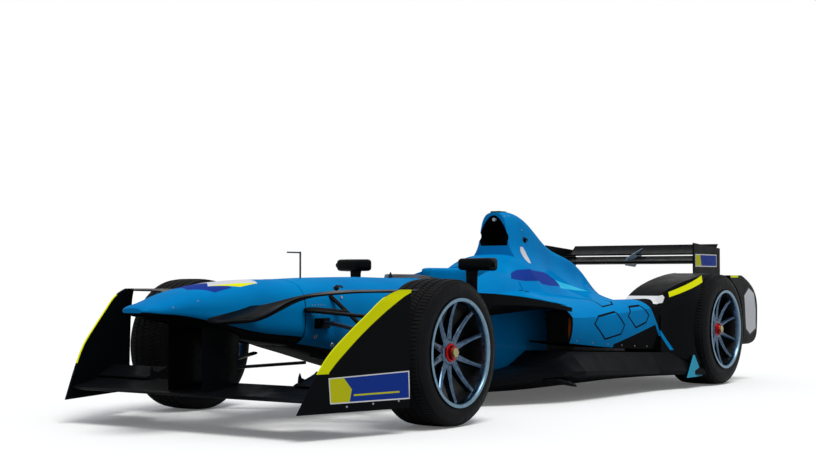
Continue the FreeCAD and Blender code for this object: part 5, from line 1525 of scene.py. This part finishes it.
# %% Bushes and rivets
bore_y, bore_z = 0.5875, 0.88556
bushes = bmesh.new()
for side in (1, -1):
    spot, normal = on_skin("roll_hoop_cowl", (side * 2, bore_y, bore_z + 0.020), (-side, 0, 0))
    face = abs(spot.x)
    ring = spun([(face - 0.012, 0.0130), (face + 0.0060, 0.0135), (face + 0.0060, 0.0205),
                 (face - 0.012, 0.0215)], 36)
    put(ring, 0.0, bore_y, bore_z, side)
    add_shape(bushes, ring)
finish_piece("bore_bushes", bushes, (grip_rubber,), "root")
hole_margin = 0.024
rivets = bmesh.new()
for side in (1, -1):
    for step in range(10):
        y = 0.540 + 0.008 * step
        z = 0.919 + (0.574 - y) * (2.0 if y < 0.574 else 1.53)
        if math.hypot(y - bore_y, z - bore_z) > hole_margin:
            stud(rivets, side_spot("roll_hoop_cowl", side, y, z), 0.0030, 0.0012, 10)
finish_piece("hoop_rivets", rivets, (grip_rubber,), "root", crease_deg=30)
print("bushes and rivets set")

# %% [markdown]
# ## Cable and plugs at the sidepod's mouth
# High-voltage cables wear an orange sleeve. One rises in each sidepod's mouth, held at both ends.
# A curve with a bevel would give the same tube; the tube helper is used again, so that the mesh is
# closed and ready at once. Small dark plugs close the holes beside it, and a silver bolt head marks
# each push rod's root.

# %% Cable, plugs and bolts
sleeves = bmesh.new()
plugs = bmesh.new()
rod_bolts = bmesh.new()
for side in (1, -1):
    line = [(0.596, 0.240, 0.478), (0.606, 0.204, 0.468), (0.613, 0.176, 0.438), (0.615, 0.168, 0.395),
            (0.613, 0.172, 0.348), (0.606, 0.190, 0.320), (0.592, 0.225, 0.310)]
    tapered_tube(sleeves, [(side * x, y, z) for x, y, z in line], [0.010] * 7)
    stud(plugs, side_spot("survival_cell", side, 0.372, 0.481), 0.0060, 0.0014)
    stud(plugs, side_spot("survival_cell", side, 0.368, 0.430), 0.0060, 0.0014)
    stud(rod_bolts, side_spot("survival_cell", side, -1.364, 0.571), 0.0085, 0.0050, 6, 0.9)
finish_piece("cable_sleeves", sleeves, (orange_sleeve,), "root", crease_deg=60)
finish_piece("cell_plugs", plugs, (grip_rubber,), "root", crease_deg=30)
finish_piece("push_rod_bolts", rod_bolts, (steel,), "root", crease_deg=20)
print("cable, plugs and bolts set")

# %% [markdown]
# ## Shoulder in front of each sidepod
# The blue skin flows down from the cell on to the black shelf before it reaches the sidepod's mouth.
# The patch starts as a flat grid: each of its points is set on the shelf by a ray from above and
# raised towards the sidepod's own edge, gently at first, so that the patch ends flush with it. A
# second patch of the same kind, set by rays from the side, takes up the step from the cell to the
# foot of the cowl. A shrinkwrap modifier would hug either solid, but could not blend from one to the
# other.

# %% Patch before each sidepod
pod_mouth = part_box("sidepods")[0][1]
lap = 0.004  # how far a patch reaches past the edge that it meets


def gentle(share):
    """0 to 1 with a level start and a level end."""
    return 3 * share ** 2 - 2 * share ** 3


def level_under(name, x, y, otherwise):
    """The height of a node's top here."""
    spot, normal = on_skin(name, (x, y, 2.0), (0, 0, -1))
    return spot.z if spot else otherwise


shoulders = bmesh.new()
for side in (1, -1):
    patch = bmesh.new()
    bmesh.ops.create_grid(patch, x_segments=14, y_segments=16, size=0.5)
    for vert in patch.verts:
        across, along_y = vert.co.x + 0.5, vert.co.y + 0.5
        x = 0.312 + 0.300 * across
        start = pod_mouth - 0.40 + 0.28 * across ** 0.8
        y = start + (pod_mouth + lap - start) * along_y
        shelf_level = level_under("sidepod_shelves", side * min(x, 0.60), min(y, pod_mouth - lap), 0.57)
        brow_level = level_under("sidepods", side * x, pod_mouth + lap, 0.57)
        foot_level = level_under("sidepod_shelves", side * min(x, 0.60), pod_mouth - 0.006, 0.55)
        rise = max(0.0, brow_level - foot_level) * gentle(along_y)
        vert.co = Vector((side * x, y, shelf_level + rise + 0.0036))
    bmesh.ops.recalc_face_normals(patch, faces=patch.faces)
    bmesh.ops.solidify(patch, geom=patch.faces[:], thickness=0.003)
    add_shape(shoulders, patch)
print("patches end at y", round(pod_mouth, 4))

# %% Patch at the cowl's foot
cowl_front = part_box("roll_hoop_cowl")[0][1]
cowl_patch_start = 0.170
for side in (1, -1):
    patch = bmesh.new()
    bmesh.ops.create_grid(patch, x_segments=12, y_segments=12, size=0.5)
    for vert in patch.verts:
        z = 0.572 + 0.074 * (vert.co.x + 0.5)
        share = vert.co.y + 0.5
        y = cowl_patch_start + (cowl_front + lap - cowl_patch_start) * share
        wall = on_skin("survival_cell", (side * 2, min(y, cowl_front - lap), z), (-side, 0, 0))[0]
        foot = on_skin("survival_cell", (side * 2, cowl_front - lap, z), (-side, 0, 0))[0]
        brow = on_skin("roll_hoop_cowl", (side * 2, cowl_front + lap, z), (-side, 0, 0))[0]
        if wall and foot and brow:
            step = max(0.0, abs(brow.x) - abs(foot.x)) * gentle(share)
            vert.co = Vector((side * (abs(wall.x) + step + 0.0014 * (1 - share)), y, z))
        else:
            vert.co = Vector((side * 0.300, y, z))
    bmesh.ops.recalc_face_normals(patch, faces=patch.faces)
    bmesh.ops.solidify(patch, geom=patch.faces[:], thickness=0.003)
    add_shape(shoulders, patch)
finish_piece("pod_shoulders", shoulders, (plain_paint,), "root", crease_deg=50)
print("cowl patches reach from y", cowl_patch_start, "to", round(cowl_front, 4))

# %% [markdown]
# ## Endplates with a smooth edge
# The solid endplate is a stack of straight slices. The skin over it has the same stations, eased
# into a curve: a grid is laid between the front and rear edges, then solidify gives it the plate's
# 9 mm, half to each side. Subdividing the solid would round its corners too, so the curve is put
# into the stations and not into the mesh.

# %% Endplates
# Share of the height; front edge: reach ahead, flare; rear edge: reach, flare
plate_stations = [(0.00, 0.785, 0.03, 0.305, 1.00), (0.32, 0.705, 0.21, 0.304, 1.00),
                  (0.50, 0.646, 0.34, 0.302, 1.00), (0.67, 0.562, 0.50, 0.300, 1.00),
                  (0.80, 0.492, 0.64, 0.297, 0.99), (0.90, 0.439, 0.74, 0.294, 0.98),
                  (0.96, 0.395, 0.80, 0.290, 0.97), (1.00, 0.345, 0.88, 0.286, 0.97)]
plate_foot, plate_height, plate_thickness = 0.112, 0.500, 0.009


def plate_at(level):
    """Front and rear edge of the left endplate at a share of its height."""
    rows = eased([Vector(row) for row in plate_stations], 6)
    for near, far in zip(rows, rows[1:]):
        if near[0] <= level <= far[0] + 1e-9:
            t = (level - near[0]) / max(far[0] - near[0], 1e-9)
            rise, lead, lean, trail, out = [a + (b - a) * t for a, b in zip(near, far)]
            break
    z = plate_foot + plate_height * level
    front = Vector((0.665 + 0.170 * lean, -1.350 - 1.150 * lead, z))
    rear = Vector((0.665 + 0.170 * out, -1.350 - 1.150 * trail, z))
    return front, rear


end_plates = bmesh.new()
for side in (1, -1):
    sheet = bmesh.new()
    bmesh.ops.create_grid(sheet, x_segments=10, y_segments=44, size=0.5)
    for vert in sheet.verts:
        level = (vert.co.y + 0.5) ** 0.8
        front, rear = plate_at(min(level, 1.0))
        spot = front.lerp(rear, vert.co.x + 0.5)
        vert.co = Vector((side * spot.x, spot.y, spot.z))
    bmesh.ops.recalc_face_normals(sheet, faces=sheet.faces)
    sheet.normal_update()
    for vert in sheet.verts:
        vert.co += vert.normal * plate_thickness / 2
    bmesh.ops.solidify(sheet, geom=sheet.faces[:], thickness=plate_thickness)
    add_shape(end_plates, sheet)
plates = finish_piece("endplates_curved", end_plates, (endplate_finish,), "root",
                      replaced=("front_wing_endplates",), crease_deg=35)
print("endplate faces", len(plates.data.polygons))

# %% [markdown]
# ## Flaps and their fences
# Behind the main plane each side has a short second aerofoil. At its inner end stands a small fence
# with a pointed front corner. The aerofoil's section is one ring of points, set at three places and
# bridged; its outermost ring is sheared so that it lies along the flared endplate. The fence is one
# flat face, extruded by its thickness.

# %% Section of a flap


def aerofoil_ring(shape, x, lead, chord, thick, angle, steps=9):
    """A closed aerofoil section at one x: round nose, thin tail, cambered upwards."""
    spots = []
    for way in (1, -1):
        for step in range(steps):
            share = (step / (steps - 1)) ** 1.6 if way > 0 else ((steps - 1 - step) / (steps - 1)) ** 1.6
            half = 0.5 * thick * (2.6 * math.sqrt(max(share, 0.0)) * (1 - share) + 0.10 * share)
            if 0 < step < steps - 1 or way > 0:
                spots.append((share * chord, way * half - 0.05 * chord * math.sin(math.pi * share)))
    turn = math.radians(angle)
    ring = []
    for along_chord, up_chord in spots:
        ring.append(shape.verts.new((x, lead[0] + along_chord * math.cos(turn) - up_chord * math.sin(turn),
                                     lead[1] + along_chord * math.sin(turn) + up_chord * math.cos(turn))))
    for pair in zip(ring, ring[1:] + ring[:1]):
        shape.edges.new(pair)
    return ring


print("flap section ready")

# %% Flaps and fences
fence_outline = [(-1.958, 0.176), (-1.952, 0.236), (-1.943, 0.256), (-1.934, 0.236), (-1.905, 0.226),
                 (-1.860, 0.236), (-1.826, 0.258), (-1.822, 0.242), (-1.842, 0.182)]
wing_flaps = bmesh.new()
for side in (1, -1):
    flap = bmesh.new()
    rings = [aerofoil_ring(flap, side * x, (-1.984, 0.204), 0.148, 0.016, 17) for x in (0.436, 0.60, 0.76)]
    for vert in rings[-1]:
        front, rear = plate_at((vert.co.z - plate_foot) / plate_height)
        share = (vert.co.y - front.y) / (rear.y - front.y)
        vert.co.x = side * (front.x + (rear.x - front.x) * share - 0.004)
    for near, far in zip(rings, rings[1:]):
        loops = [flap.edges.get(pair) for ring in (near, far) for pair in zip(ring, ring[1:] + ring[:1])]
        bmesh.ops.bridge_loops(flap, edges=loops)
    for ring in (rings[0], rings[-1]):
        flap.faces.new(ring)
    add_shape(wing_flaps, flap)
    fence = bmesh.new()
    wall = fence.faces.new([fence.verts.new((side * 0.4345, y, z)) for y, z in fence_outline])
    moved = corners_of(bmesh.ops.extrude_face_region(fence, geom=[wall])["geom"])
    bmesh.ops.translate(fence, verts=moved, vec=(side * 0.006, 0, 0))
    add_shape(wing_flaps, fence)
finish_piece("flaps_with_fences", wing_flaps, (black_carbon,), "root",
             replaced=("front_wing_flaps",), crease_deg=30)
print("flaps made")

# %% [markdown]
# ## Floor, light and camera
# A car in a studio stands on a large pale floor under soft light. The floor is one sheet, nearly
# white and a little self-lit for the camera only, so that it runs into the white background and
# still shows the car's shadow. A wide, soft sun stands for a big lamp box high over the car's left
# side, and an even, dim world fills the rest. Camera, glass and gloss see a white wall instead,
# which keeps the background white without more light on the paint. The camera's place, tilt and
# lens were worked out from the wheels in the photograph, low and off the front left corner, so that
# the render can be laid over it.

# %% The floor
floor_mesh = bpy.data.meshes.new("studio_floor")
sheet = bmesh.new()
bmesh.ops.create_grid(sheet, x_segments=1, y_segments=1, size=60)
sheet.to_mesh(floor_mesh)
sheet.free()
studio_floor = bpy.data.objects.new("studio_floor", floor_mesh)
scene.collection.objects.link(studio_floor)
floor_paper, paper_tree, paper_shader = finish("floor_paper", Roughness=0.9, Specular_IOR_Level=0.1)
grain = {"Vector": place(paper_tree), "Scale": 3.0, "Detail": 4.0}
fibres = node(paper_tree, "TexNoise", grain).outputs["Fac"]
paper_tone = mix(paper_tree, fibres, colour(250, 250, 250), colour(252, 252, 253))
paths = node(paper_tree, "LightPath").outputs
seen = paths["Is Camera Ray"]
shown = sum_of(paper_tree, "MAXIMUM", seen, paths["Is Glossy Ray"])
floor_shade = colour(120, 121, 124)  # what the car's underside sees
paper_tree.links.new(mix(paper_tree, shown, floor_shade, paper_tone), paper_shader.inputs["Base Color"])
paper_shader.inputs["Emission Color"].default_value = (1, 1, 1, 1)
paper_tree.links.new(sum_of(paper_tree, "MULTIPLY", seen, 0.10), paper_shader.inputs["Emission Strength"])
floor_mesh.materials.append(floor_paper)
print("floor laid")

# %% World and lamp
world = bpy.data.worlds.new("studio")
scene.world = world
world.use_nodes = True
sky = world.node_tree
fill_light = sky.nodes["Background"]
fill_light.inputs["Color"].default_value = (0.92, 0.96, 1.0, 1)
fill_light.inputs["Strength"].default_value = 0.42
white_wall = node(sky, "Background", {"Color": (1, 1, 1, 1), "Strength": 1.0})
rays = node(sky, "LightPath").outputs
direct = sum_of(sky, "MAXIMUM", rays["Is Camera Ray"], rays["Is Transmission Ray"])
direct = sum_of(sky, "MAXIMUM", direct, rays["Is Glossy Ray"])
chosen = node(sky, "MixShader", {0: direct})
sky.links.new(fill_light.outputs[0], chosen.inputs[1])
sky.links.new(white_wall.outputs[0], chosen.inputs[2])
sky.links.new(chosen.outputs[0], sky.nodes["World Output"].inputs["Surface"])

lamp = bpy.data.lights.new("lamp_box", "SUN")
lamp.energy = 2.0
lamp.angle = math.radians(30)
lamp.color = (1.0, 0.99, 0.97)
lamp_box = bpy.data.objects.new("lamp_box", lamp)
lamp_box.rotation_euler = Vector((0.42, -0.22, 1.0)).to_track_quat("Z", "Y").to_euler()
scene.collection.objects.link(lamp_box)
print("world and lamp set")

# %% Camera
lens = bpy.data.cameras.new("studio_camera")
lens.lens = 61.80
lens.sensor_width = 36.0
lens.clip_end = 200
camera = bpy.data.objects.new("studio_camera", lens)
camera.location = (4.2055, -6.6176, 0.6519)
camera.rotation_euler = (math.radians(90 + 2.056), 0, math.radians(34.47))
scene.collection.objects.link(camera)
scene.camera = camera
print("camera placed")
